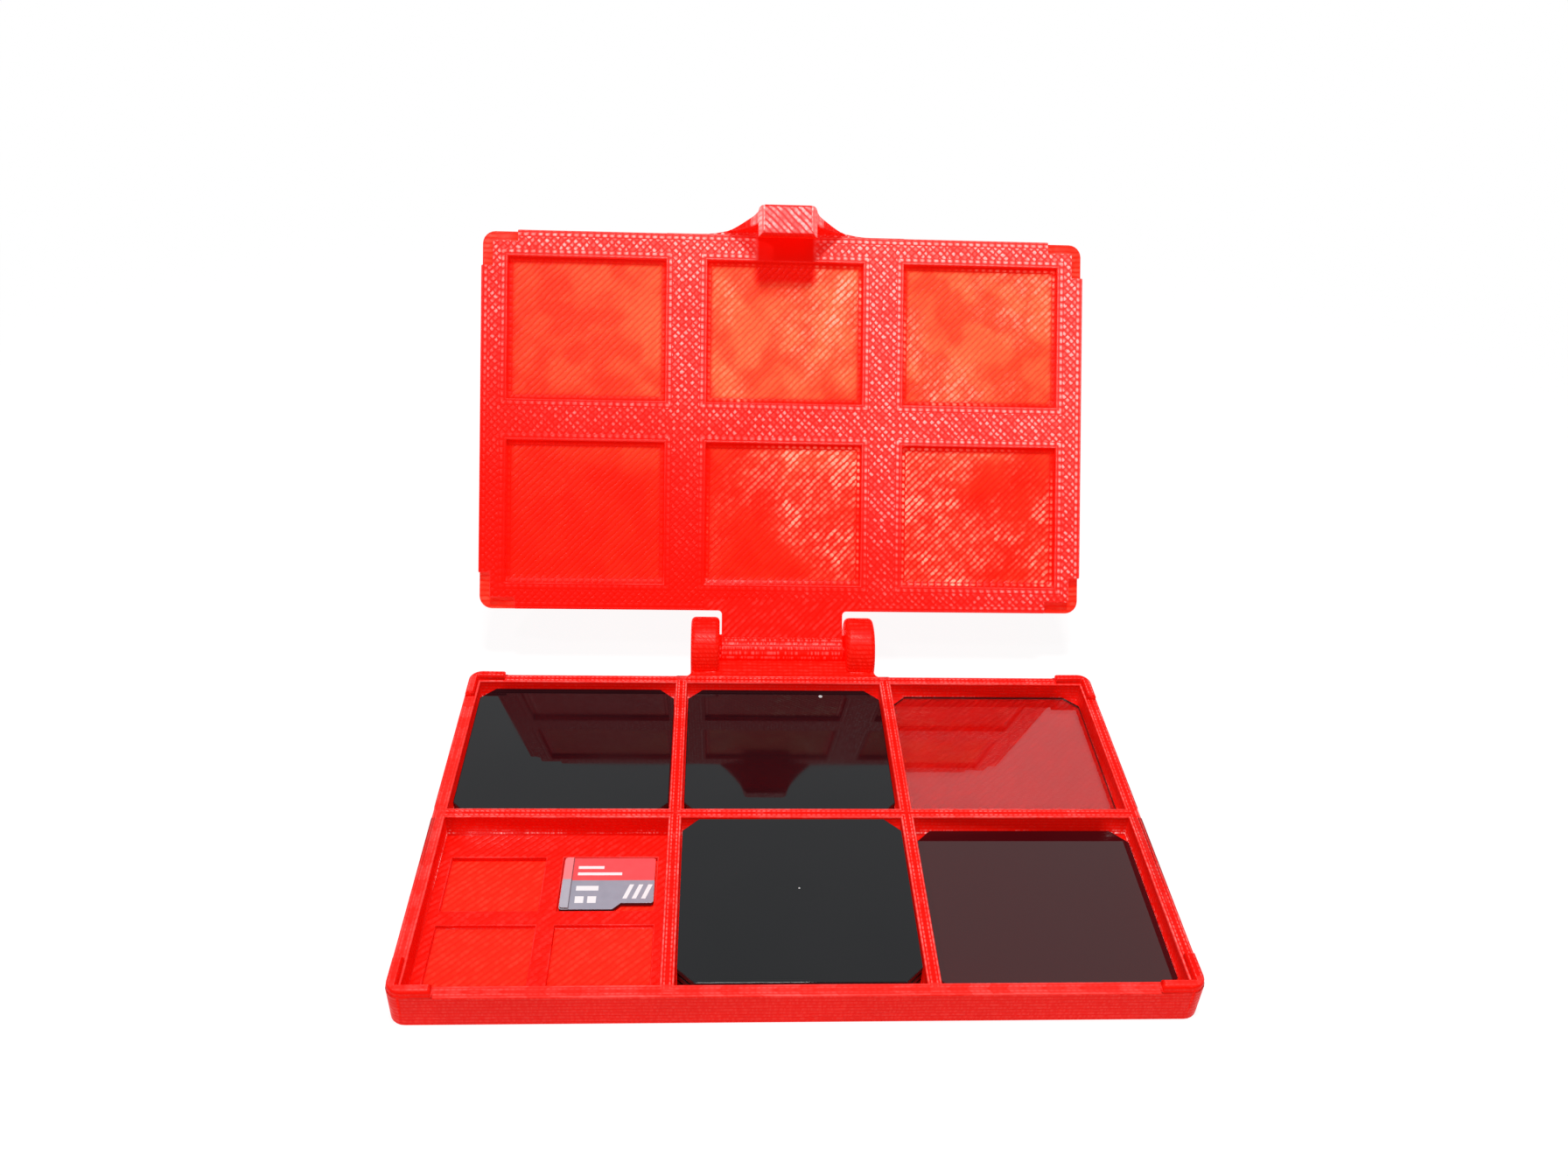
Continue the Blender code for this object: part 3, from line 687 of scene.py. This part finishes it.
def make_recess_material():
    """Thin floors of the lid's recesses: orange with painted light coming through, redder towards the
    hinge.
    """
    material, tree = new_material("lid recess floors")
    vector = print_frame_vector(tree, True)
    openings = {"Opening Width": RECESS_WIDTH, "Opening Depth": RECESS_LENGTH}
    cells = tree.group("cells", {"Vector": vector, **openings})
    inwards = tree.times(cells["From Opening"], -1.0)
    side = {"Distance": inwards, "Along": cells["Along"]}
    turns = tree.group("stitches", {**side, "Depth": TURNS_WIDTH, "Dots": 1.0})
    x, y, _ = tree.split(vector)
    rough = tree.spread(tree.noise(vector, ROUGH_SCALE, MIDDLING), *ROUGH_AREAS)
    rough = tree.times(rough, tree.spread(x, *ROUGH_ACROSS))
    weave = tree.blend(rough, SMOOTH_WEAVE, ROUGH_WEAVE)
    diagonal = tree.turned(vector, FILL_ANGLE)
    fill = tree.group("beads", {"Vector": diagonal, "Weave": weave, "Breaks": RECESS_BREAKS})
    height = tree.blend(turns["Inside"], fill["Height"], turns["Height"])
    height = tree.times(height, tree.blend(rough, SMOOTH_HEIGHT, ROUGH_HEIGHT))
    # No painted light and no painted sheen in the hook's painted shadow
    open_to_light = tree.minus(1.0, tree.group("painted hook shadow", {"Vector": vector})["Mask"])
    uneven = tree.wander(vector, WARMTH_SCALE, MIDDLING)
    # Painted light through the floor, with painted shade along the recess edges
    painted_light_through = tree.times(
        tree.spread(tree.scaled(uneven, WARMTH_UNEVEN, y), *WARMTH_UP),
        tree.spread(tree.noise(vector, SPOT_SCALE, COARSE), *SPOTS),
        tree.spread(x, *WARMTH_ACROSS),
        tree.spread(inwards, *WARMTH_INWARDS),
        open_to_light,
    )
    rough = tree.times(rough, open_to_light)
    clusters = tree.times(rough, tree.spread(tree.noise(vector, CLUSTER_SCALE, COARSE), *CLUSTERS))
    share = tree.plus(tree.scaled(rough, ROUGH_SHEEN, RECESS_SHEEN), clusters)
    colours = (tree.paint(painted_light_through, THIN_RED, ORANGE), tree.paint(painted_light_through, DEEP_RED, DEEP_ORANGE), PALE_ORANGE)
    finish_plastic(tree, vector, height, fill["Tone"], RECESS_GROOVE, colours, share, LID_GLOSS_AND_GLOW)
    return material


FLAT_BREAKS = 0.4
FLAT_WEAVE = 0.2


def make_flat_material(name, lid, turn, depth, colours, share, weave=FLAT_WEAVE):
    """Flat fields of slanted beads from edge to edge, with their share of painted sheen."""
    material, tree = new_material(name)
    vector = print_frame_vector(tree, lid)
    fill = tree.group("beads", {"Vector": tree.turned(vector, turn), "Weave": weave, "Breaks": FLAT_BREAKS})
    surface = LID_GLOSS_AND_GLOW if lid else TRAY_GLOSS_AND_GLOW
    finish_plastic(tree, vector, fill["Height"], fill["Tone"], depth, colours, share, surface)
    return material


def make_pane_material(name, colour, ior, dust, shift):
    """Dark polished glass, near black, with specks of dust."""
    material, tree = new_material(name)
    given = {"Vector": tree.coords(), "Tint": rgba(colour), "Dust": dust, "Shift": shift}
    look = tree.group("dusty dark glass", given)
    inputs = {"Base Color": look["Color"], "Roughness": look["Roughness"], "IOR": ior}
    tree.finish(tree.add("BsdfPrincipled", inputs).outputs[0])
    return material


CLEAR_DUST = {"Scale": 260.0, "Amount": 0.12, "Shift": 0.31}
CLEAR_SMEAR_SCALE = 70.0
CLEAR_ROUGHNESS = (0.4, 0.7, 0.0, 0.04)
CLEAR_TINT = (0.47, 0.38, 0.39)
CLEAR_SHADOW = (0.55, 0.5, 0.5)
CLEAR_SPECKS = (0.6, 0.5, 0.5)
CLEAR_IOR = 1.5


def make_clear_pane_material():
    """Tinted see-through glass. Shadow rays pass straight through it."""
    material, tree = new_material("tinted glass")
    coords = tree.coords()
    mask = tree.group("dust", {"Vector": coords, **CLEAR_DUST})["Mask"]
    gloss = tree.spread(tree.noise(coords, CLEAR_SMEAR_SCALE, FINE), *CLEAR_ROUGHNESS)
    glass = tree.add(
        "BsdfPrincipled",
        {
            "Base Color": rgba(CLEAR_TINT),
            "Roughness": gloss,
            "IOR": CLEAR_IOR,
            "Transmission Weight": 1.0,
        },
    ).outputs[0]
    clear = tree.add("BsdfTransparent", {"Color": rgba(CLEAR_SHADOW)}).outputs[0]
    speck = tree.add("BsdfDiffuse", {"Color": rgba(CLEAR_SPECKS)}).outputs[0]
    shadow = tree.add("LightPath", {}).outputs["Is Shadow Ray"]
    pane = tree.add("MixShader", {0: shadow, 1: glass, 2: clear}).outputs[0]
    tree.finish(tree.add("MixShader", {0: mask, 1: pane, 2: speck}).outputs[0])
    return material


FROST = {"Scale": 3000.0, "Strength": 0.6, "Depth": 0.02 * MM}
FROST_COLOURS = ((0.012, 0.01, 0.011), (0.05, 0.045, 0.047))
FROST_ROUGHNESS = (0.3, 0.7, 0.35, 0.6)


def make_ground_edge_material():
    """The frosted edge of a glass pane."""
    material, tree = new_material("ground glass edge")
    frost = tree.group("fine grain", {"Vector": tree.coords(), **FROST})
    base = tree.paint(frost["Grain"], *FROST_COLOURS)
    gloss = tree.spread(frost["Grain"], *FROST_ROUGHNESS)
    inputs = {"Base Color": base, "Roughness": gloss, "Normal": frost["Normal"]}
    tree.finish(tree.add("BsdfPrincipled", inputs).outputs[0])
    return material


def start_from_node(node, to_frame=Matrix.Identity(4)):
    """A node's mesh with its triangles merged, moved into a working frame."""
    shape = bmesh.new()
    shape.from_mesh(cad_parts[node].data)
    bmesh.ops.remove_doubles(shape, verts=shape.verts, dist=MERGE_DISTANCE)
    bmesh.ops.transform(shape, matrix=to_frame, verts=shape.verts)
    return shape


def score(shape, lines, way):
    """Cuts seams across the whole shape, on both sides of the middle."""
    for place in [side * line for line in lines for side in (-1, 1)]:
        cut = bmesh.ops.bisect_plane(
            shape,
            geom=[*shape.verts, *shape.edges, *shape.faces],
            plane_co=way * place,
            plane_no=way,
            dist=MERGE_DISTANCE,
        )
        for item in cut["geom_cut"]:
            if isinstance(item, bmesh.types.BMEdge):
                item.seam = True


def join_flats(shape):
    """Joins the triangles of each flat field between seams into one face."""
    bmesh.ops.dissolve_limit(
        shape, angle_limit=FLAT_ANGLE, verts=shape.verts, edges=shape.edges, delimit={"SEAM"}
    )


def soften(shape, radius, keep_sharp=lambda point: False):
    """Rounds the outer edges that have room for it, and marks the rounded strips for wear."""
    edge_mark = shape.faces.layers.float.new("edge")
    chosen = []
    for edge in shape.edges:
        if edge.calc_face_angle() < SHARP_ANGLE or not edge.is_convex:
            continue
        around = [other.calc_length() for vert in edge.verts for other in vert.link_edges]
        if min(around) < ROUNDING_ROOM * radius or any(keep_sharp(vert.co) for vert in edge.verts):
            continue
        chosen.append(edge)
    made = bmesh.ops.bevel(
        shape,
        geom=chosen,
        offset=radius,
        segments=ROUNDING_STEPS,
        profile=CIRCULAR,
        affect="EDGES",
        clamp_overlap=False,
        material=-1,
    )
    for face in made["faces"]:
        face[edge_mark] = 1.0


def finish_piece(shape, name, node, body, slot, materials, pick, from_frame=Matrix.Identity(4)):
    """Gives the faces their finishes, and turns the shape into a piece that stands for a node."""
    shape.normal_update()
    for face in shape.faces:
        face.material_index = pick(face)
        face.smooth = True
    bmesh.ops.transform(shape, matrix=from_frame, verts=shape.verts)
    mesh = bpy.data.meshes.new(name)
    shape.to_mesh(mesh)
    shape.free()
    for material in materials:
        mesh.materials.append(material)
    mesh.set_sharp_from_angle(angle=CREASE_ANGLE)
    piece = bpy.data.objects.new(name, mesh)
    bpy.context.scene.collection.objects.link(piece)
    weighted = piece.modifiers.new("even shading", "WEIGHTED_NORMAL")
    weighted.keep_sharp = True
    weighted.weight = EVEN_SHADING
    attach(piece, body)
    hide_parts(node)
    return piece


def make_tray():
    shape = start_from_node("base_tray")
    inner_x = TRAY_WIDTH / 2 - WALL
    score(shape, (CELL_WIDTH / 2, CELL_WIDTH / 2 + WALL, inner_x, TRAY_WIDTH / 2 - RIB_END), ALONG_X)
    score(shape, (WALL / 2, TRAY_DEPTH / 2 - WALL, TRAY_DEPTH / 2 - RIB_END), ALONG_Y)
    join_flats(shape)

    def crowded(point):
        x, y = abs(point.x), abs(point.y)
        at_rib = point.z > RIB_FOOT and x > RIB_AREA_X and y > RIB_AREA_Y
        on_ear = point.y > TRAY_DEPTH / 2 + MERGE_DISTANCE
        return at_rib and (x > RIB_FLANK_X or y > RIB_FLANK_Y) or on_ear

    soften(shape, EDGE_ROUNDING, crowded)
    sides, rims, floors, underside, pockets, web = range(6)

    def pick(face):
        place = face.calc_center_median()
        if face.normal.z < -LEVEL:
            return underside
        if face.normal.z < LEVEL:
            return sides
        if place.y > TRAY_DEPTH / 2:
            return web
        if place.z < POCKET_FLOORS_BELOW:
            return pockets
        return floors if place.z < TRAY_FLOORS_BELOW else rims

    finishes = [
        make_wall_material("tray sides", False),
        make_rim_material(),
        make_flat_material("tray floors", False, FILL_ANGLE, FLOOR_GROOVE, RED_COLOURS, 0.1),
        make_flat_material("tray underside", False, FILL_ANGLE, GLASSY_GROOVE, RED_COLOURS, 0.08),
        make_flat_material("pocket floors", False, FILL_ANGLE, SHALLOW_GROOVE, POCKET_COLOURS, 0.1),
        make_flat_material("hinge web", False, 90, FAINT_GROOVE, RED_COLOURS, 0.1, 0.3),
    ]
    finish_piece(shape, "printed_tray", "base_tray", "tray", "red_plastic", finishes, pick)


def make_lid():
    shape = start_from_node("lid", LID_TO_PRINT)
    half_x, half_y = RECESS_WIDTH / 2, RECESS_LENGTH / 2
    notch_x = (TRAY_WIDTH / 2 - NOTCH_LEG, TRAY_WIDTH / 2 - NOTCH_WIDTH)
    notch_y = (TRAY_DEPTH / 2 - NOTCH_LEG, TRAY_DEPTH / 2 - NOTCH_WIDTH)
    score(shape, (half_x, PITCH_X - half_x, PITCH_X + half_x, *notch_x), ALONG_X)
    score(shape, (PITCH_Y / 2 - half_y, PITCH_Y / 2 + half_y, *notch_y), ALONG_Y)
    join_flats(shape)

    def crowded(point):
        on_flare = FLARE_START_X < abs(point.x) < FLARE_END_X
        return on_flare and point.y > FLARE_Y and point.z < FLARE_BELOW

    soften(shape, EDGE_ROUNDING, crowded)
    sides, borders, recesses, notches, hook_end, outer_face, barrel, tongue, hook_edges = range(9)

    def pick(face):
        place = face.calc_center_median()
        height = place.z
        from_axis = math.hypot(place.y + AXIS_Y, height - LID_THICKNESS)
        if from_axis < BARREL_REACH and height > OUTER_FACE_BELOW:
            return barrel
        if face.normal.z < -LEVEL:
            return outer_face
        slanted = abs(face.normal.x) > HOOK_EDGE_SIDEWAYS and face.normal.z > HOOK_EDGE_UPWARDS
        if height > HOOK_EDGES_ABOVE and slanted:
            return hook_edges
        if face.normal.z < LEVEL:
            return sides
        if height > HOOK_ABOVE:
            return hook_end
        if place.y < -TRAY_DEPTH / 2:
            return tongue
        if height > RECESS_FLOORS_BELOW:
            return borders
        return notches if height < NOTCH_FLOORS_BELOW else recesses

    finishes = [
        make_wall_material("lid sides", True),
        make_border_material(),
        make_recess_material(),
        make_flat_material("lid notch floors", True, 90, FAINT_GROOVE, NOTCH_COLOURS, 0.3, 0.0),
        # Painted sheen over the whole hook end
        make_flat_material("hook end", True, -FILL_ANGLE, HOOK_GROOVE, HOOK_SHEEN_COLOURS, 3.0),
        make_flat_material("lid outer face", True, FILL_ANGLE, GLASSY_GROOVE, RED_COLOURS, 0.08),
        make_barrel_material(),
        make_flat_material("hinge tongue", True, FILL_ANGLE, SHALLOW_GROOVE, RED_COLOURS, 0.2, 0.15),
        # Painted highlights on the hook's rounded edges
        make_flat_material("hook edges", True, 0, SHALLOW_GROOVE, EDGE_HIGHLIGHT_COLOURS, 2.0, 0.5),
    ]
    finish_piece(shape, "printed_lid", "lid", "lid", "red_plastic", finishes, pick, LID_TO_PRINT.inverted())


SMOKED = (0.0022, 0.003, 0.0045)
BROWN = (0.042, 0.0015, 0.003)


def make_panes():
    edge = make_ground_edge_material()
    smoked = make_pane_material("smoked glass", SMOKED, ior=1.365, dust=0.1, shift=0.0)
    brown = make_pane_material("brown smoked glass", BROWN, ior=1.42, dust=0.12, shift=0.17)
    clear = make_clear_pane_material()
    panes = [
        ("back_left_lower", smoked, "dark_glass"),
        ("back_left_upper", smoked, "dark_glass"),
        ("back_middle_lower", smoked, "dark_glass"),
        ("back_middle_upper", smoked, "dark_glass"),
        ("back_right", clear, "tinted_glass"),
        ("front_middle_lower", smoked, "dark_glass"),
        ("front_middle_middle", smoked, "dark_glass"),
        ("front_middle_upper", smoked, "dark_glass"),
        ("front_right", brown, "dark_glass"),
    ]

    def pick(face):
        return 0 if abs(face.normal.z) > LEVEL else 1

    for name, glass, slot in panes:
        shape = start_from_node("filter_" + name)
        join_flats(shape)
        soften(shape, PANE_ROUNDING)
        finish_piece(shape, "pane_" + name, "filter_" + name, name, slot, [glass, edge], pick)


# The memory card, label up
CARD_LEFT = -37.7 * MM
CARD_FRONT = -17.3 * MM
CARD_BOTTOM = 1.15 * MM
CARD_BAND = 6.1 * MM
CARD_RIDGE = 1.5 * MM
# A dark line just beyond the ridge, painted as the ridge's shadow
CARD_RIDGE_SHADOW = CARD_RIDGE + 0.05 * MM
CARD_RIDGE_SHADOW_LINE = (0.0, 0.1 * MM, 0.7, 0.0)
CARD_LABEL_ABOVE = CARD_BOTTOM + 0.4 * MM
CARD_LABEL_TILT = 0.3
CARD_INK_EDGE = 0.03 * MM
CARD_WEAR_SCALE = 700.0
CARD_GREYS = ((0.27, 0.27, 0.335), (0.33, 0.33, 0.4))
CARD_REDS = ((0.8, 0.055, 0.065), (0.86, 0.075, 0.085))
# Colour of the ridge's painted shadow line
CARD_RIDGE_SHADOW_COLOUR = (0.12, 0.06, 0.08)
CARD_RIDGE_COLOUR = (0.9, 0.85, 0.88)
CARD_RIDGE_PALENESS = 0.18
CARD_INK = (0.84, 0.82, 0.84)
CARD_INK_COVER = (0.2, 0.4, 0.8, 1.0)
CARD_ROUGHNESS = (0.3, 0.7, 0.35, 0.5)

# Marks on the card: left, front, width, depth and lean
CARD_MARKS = [
    (2.4 * MM, 3.9 * MM, 3.6 * MM, 1.0 * MM, 0.0),
    (2.4 * MM, 1.3 * MM, 1.4 * MM, 1.4 * MM, 0.0),
    (4.4 * MM, 1.3 * MM, 1.4 * MM, 1.4 * MM, 0.0),
    (9.2 * MM, 2.2 * MM, 0.7 * MM, 3.0 * MM, 0.35),
    (10.7 * MM, 2.2 * MM, 0.7 * MM, 3.0 * MM, 0.35),
    (12.2 * MM, 2.2 * MM, 0.7 * MM, 3.0 * MM, 0.35),
    (2.4 * MM, 7.2 * MM, 7.2 * MM, 0.6 * MM, 0.0),
    (2.4 * MM, 8.6 * MM, 4.2 * MM, 0.6 * MM, 0.0),
]


def make_card_material():
    """The label side of a memory card: a red band over grey, with plain white marks and a painted shadow
    line beside the ridge.
    """
    material, tree = new_material("card label")
    coords = tree.coords()
    x, y, _ = tree.split(coords)
    grain = tree.group("fine grain", {"Vector": coords})
    wear = tree.noise(coords, CARD_WEAR_SCALE, FINE)
    u = tree.minus(x, CARD_LEFT)
    v = tree.minus(y, CARD_FRONT)
    band = tree.spread(v, CARD_BAND - CARD_INK_EDGE, CARD_BAND + CARD_INK_EDGE)
    label = tree.paint(band, tree.paint(wear, *CARD_GREYS), tree.paint(wear, *CARD_REDS))
    on_ridge = tree.below(u, CARD_RIDGE)
    label = tree.paint(tree.times(on_ridge, CARD_RIDGE_PALENESS), label, CARD_RIDGE_COLOUR)
    marks = None
    for left, front, width, depth, lean in CARD_MARKS:
        across = tree.plus(u, tree.times(v, -lean))
        beyond = []
        for value, start, size in ((across, left, width), (v, front, depth)):
            off = tree.absolute(tree.minus(value, start + size / 2))
            beyond.append(tree.minus(off, size / 2))
        mark = tree.spread(tree.math("MAXIMUM", *beyond), -CARD_INK_EDGE, CARD_INK_EDGE, 1.0, 0.0)
        marks = mark if marks is None else tree.math("MAXIMUM", marks, mark)
    marks = tree.times(marks, tree.spread(grain["Grain"], *CARD_INK_COVER))
    label = tree.paint(marks, label, CARD_INK)
    # Painted shadow: a dark line just beyond the ridge
    seam = tree.spread(tree.absolute(tree.minus(u, CARD_RIDGE_SHADOW)), *CARD_RIDGE_SHADOW_LINE)
    label = tree.paint(seam, label, CARD_RIDGE_SHADOW_COLOUR)
    gloss = tree.spread(wear, *CARD_ROUGHNESS)
    inputs = {"Base Color": label, "Roughness": gloss, "Normal": grain["Normal"]}
    tree.finish(tree.add("BsdfPrincipled", inputs).outputs[0])
    return material


CONTACT_PITCH = 1.1 * MM
CONTACT_HALF_WIDTH = 0.38 * CONTACT_PITCH
CONTACT_MIDDLE = 12.6 * MM
CONTACT_HALF_LENGTH = 1.4 * MM
CONTACT_ROW_MIDDLE = 6.0 * MM
CONTACT_ROW_HALF = 4.4 * MM
CONTACT_GOLD = (0.83, 0.6, 0.25)
CONTACT_ROUGHNESS = 0.28
SHELL_BLACKS = ((0.02, 0.02, 0.022), (0.035, 0.035, 0.04))
SHELL_ROUGHNESS = 0.45


def make_card_shell_material():
    """The black plastic of a memory card, with its row of gold contacts underneath."""
    material, tree = new_material("card shell")
    coords = tree.coords()
    x, y, z = tree.split(coords)
    grain = tree.group("fine grain", {"Vector": coords})
    u = tree.minus(x, CARD_LEFT)
    v = tree.minus(y, CARD_FRONT)
    in_pitch = tree.absolute(tree.math("WRAP", v, CONTACT_PITCH / 2, -CONTACT_PITCH / 2))
    gold = tree.times(
        tree.below(in_pitch, CONTACT_HALF_WIDTH),
        tree.below(tree.absolute(tree.minus(u, CONTACT_MIDDLE)), CONTACT_HALF_LENGTH),
        tree.below(tree.absolute(tree.minus(v, CONTACT_ROW_MIDDLE)), CONTACT_ROW_HALF),
        tree.below(z, CARD_BOTTOM + 0.05 * MM),
    )
    colour = tree.paint(gold, tree.paint(grain["Grain"], *SHELL_BLACKS), CONTACT_GOLD)
    gloss = tree.blend(gold, SHELL_ROUGHNESS, CONTACT_ROUGHNESS)
    inputs = {"Base Color": colour, "Roughness": gloss, "Metallic": gold, "Normal": grain["Normal"]}
    tree.finish(tree.add("BsdfPrincipled", inputs).outputs[0])
    return material


def make_card():
    shape = start_from_node("memory_card")
    join_flats(shape)
    soften(shape, CARD_ROUNDING)

    def pick(face):
        upward = face.normal.z > CARD_LABEL_TILT
        return 0 if upward and face.calc_center_median().z > CARD_LABEL_ABOVE else 1

    finishes = [make_card_material(), make_card_shell_material()]
    finish_piece(shape, "storage_card", "memory_card", "card", "card_shell", finishes, pick)


def make_pin():
    shape = start_from_node("hinge_pin")
    join_flats(shape)
    soften(shape, CARD_ROUNDING)
    finishes = [make_flat_material("pin", False, 0, GLASSY_GROOVE, PIN_COLOURS, 0.1, 0.0)]
    finish_piece(shape, "turned_pin", "hinge_pin", "tray", "pin_plastic", finishes, lambda face: 0)


def looked_at(tree):
    """1 for what the camera sees directly, mirrored or through glass, else 0."""
    paths = tree.add("LightPath", {}).outputs
    seen = tree.math("MAXIMUM", paths["Is Camera Ray"], paths["Is Glossy Ray"])
    return tree.math("MAXIMUM", seen, paths["Is Transmission Ray"])


FLOOR_HALF = 3.0
FLOOR_GAP = 0.05 * MM
FLOOR_NEAR = (0.12, 0.4, 1.0, 0.0)
FLOOR_PALE = (0.8, 0.8, 0.8)
FLOOR_SHADE = 0.1
FLOOR_DIMMING = 0.07


def make_stage():
    shape = bmesh.new()
    bmesh.ops.create_grid(shape, x_segments=1, y_segments=1, size=FLOOR_HALF)
    mesh = bpy.data.meshes.new("floor")
    shape.to_mesh(mesh)
    shape.free()
    floor = bpy.data.objects.new("floor", mesh)
    bpy.context.scene.collection.objects.link(floor)
    floor.location.z = -FLOOR_GAP
    material, tree = new_material("pale floor")
    away = tree.add("VectorMath", {0: tree.coords()}, operation="LENGTH").outputs["Value"]
    near = tree.spread(away, *FLOOR_NEAR)
    base = tree.add("BsdfDiffuse", {"Color": rgba(FLOOR_PALE)}).outputs[0]
    grey = tree.times(near, FLOOR_SHADE)
    shaded = tree.add("BsdfDiffuse", {"Color": tree.join(grey, grey, grey)}).outputs[0]
    strength = tree.minus(1.0, tree.times(near, FLOOR_DIMMING))
    glow = tree.add("Emission", {"Strength": strength}).outputs[0]
    bright = tree.add("AddShader", {0: shaded, 1: glow}).outputs[0]
    tree.finish(tree.add("MixShader", {0: looked_at(tree), 1: base, 2: bright}).outputs[0])
    mesh.materials.append(material)


SKY_WHITE = (1.0, 1.0, 1.0)
SKY_SEEN = 1.0
SKY_LIGHT = 0.2
SKY_MIRRORED = (-0.2, 0.1, 0.04, 1.0)
LAMP_TARGET = Vector((0.0, 0.06, 0.03))

# Lamps: name, place, size and power
LAMPS = [
    ("overhead soft box", (0.0, -0.03, 0.68), 0.1, 3.6),
    ("small side lamp", (-0.223, -0.188, 0.466), 0.05, 0.5),
]


def make_light():
    """A white surround, darker where the glass mirrors what is in front of the case, and two lamps."""
    world = bpy.data.worlds.new("studio")
    world.use_nodes = True
    bpy.context.scene.world = world
    tree = Tree(world.node_tree)
    paths = tree.add("LightPath", {}).outputs
    y = tree.split(tree.add("TexCoord", {}).outputs["Generated"])[1]
    strength = tree.blend(looked_at(tree), SKY_LIGHT, SKY_SEEN)
    strength = tree.blend(paths["Is Glossy Ray"], strength, tree.spread(y, *SKY_MIRRORED))
    sky = tree.add("Background", {"Color": rgba(SKY_WHITE), "Strength": strength}).outputs[0]
    tree.finish(sky, "OutputWorld")
    for name, place, size, power in LAMPS:
        lamp = bpy.data.lights.new(name, "AREA")
        lamp.shape = "SQUARE"
        lamp.size = size
        lamp.energy = power
        holder = bpy.data.objects.new(name, lamp)
        bpy.context.scene.collection.objects.link(holder)
        holder.location = place
        holder.rotation_euler = (LAMP_TARGET - Vector(place)).to_track_quat("-Z", "Y").to_euler()


# Camera of the photo
CAMERA_PLACE = Vector((-0.01276, -0.15421, 0.15658))
CAMERA_YAW, CAMERA_PITCH, CAMERA_ROLL = (math.radians(angle) for angle in (3.62, -34.03, 2.61))
CAMERA_LENS = 28.68
SENSOR_WIDTH = 36.0
CAMERA_CLIP = 5 * MM


def make_camera():
    yaw, pitch, roll = CAMERA_YAW, CAMERA_PITCH, CAMERA_ROLL
    ahead = Vector((math.sin(yaw) * math.cos(pitch), math.cos(yaw) * math.cos(pitch), math.sin(pitch)))
    level = Vector((math.cos(yaw), -math.sin(yaw), 0))
    upward = level.cross(ahead)
    right = math.cos(roll) * level + math.sin(roll) * upward
    top = math.cos(roll) * upward - math.sin(roll) * level
    data = bpy.data.cameras.new("camera")
    data.sensor_fit = "HORIZONTAL"
    data.sensor_width = SENSOR_WIDTH
    data.lens = CAMERA_LENS
    data.clip_start = CAMERA_CLIP
    camera = bpy.data.objects.new("camera", data)
    bpy.context.scene.collection.objects.link(camera)
    turn = Matrix((right, top, -ahead)).transposed()
    camera.matrix_world = Matrix.Translation(CAMERA_PLACE) @ turn.to_4x4()
    bpy.context.scene.camera = camera


bpy.context.scene.view_settings.view_transform = "Standard"
make_beads_group()
make_cells_group()
make_stitches_group()
make_plastic_group()
make_shelter_group()
make_dust_group()
make_dark_glass_group()
make_grain_group()
make_tray()
make_lid()
make_panes()
make_card()
make_pin()
make_stage()
make_light()
make_camera()
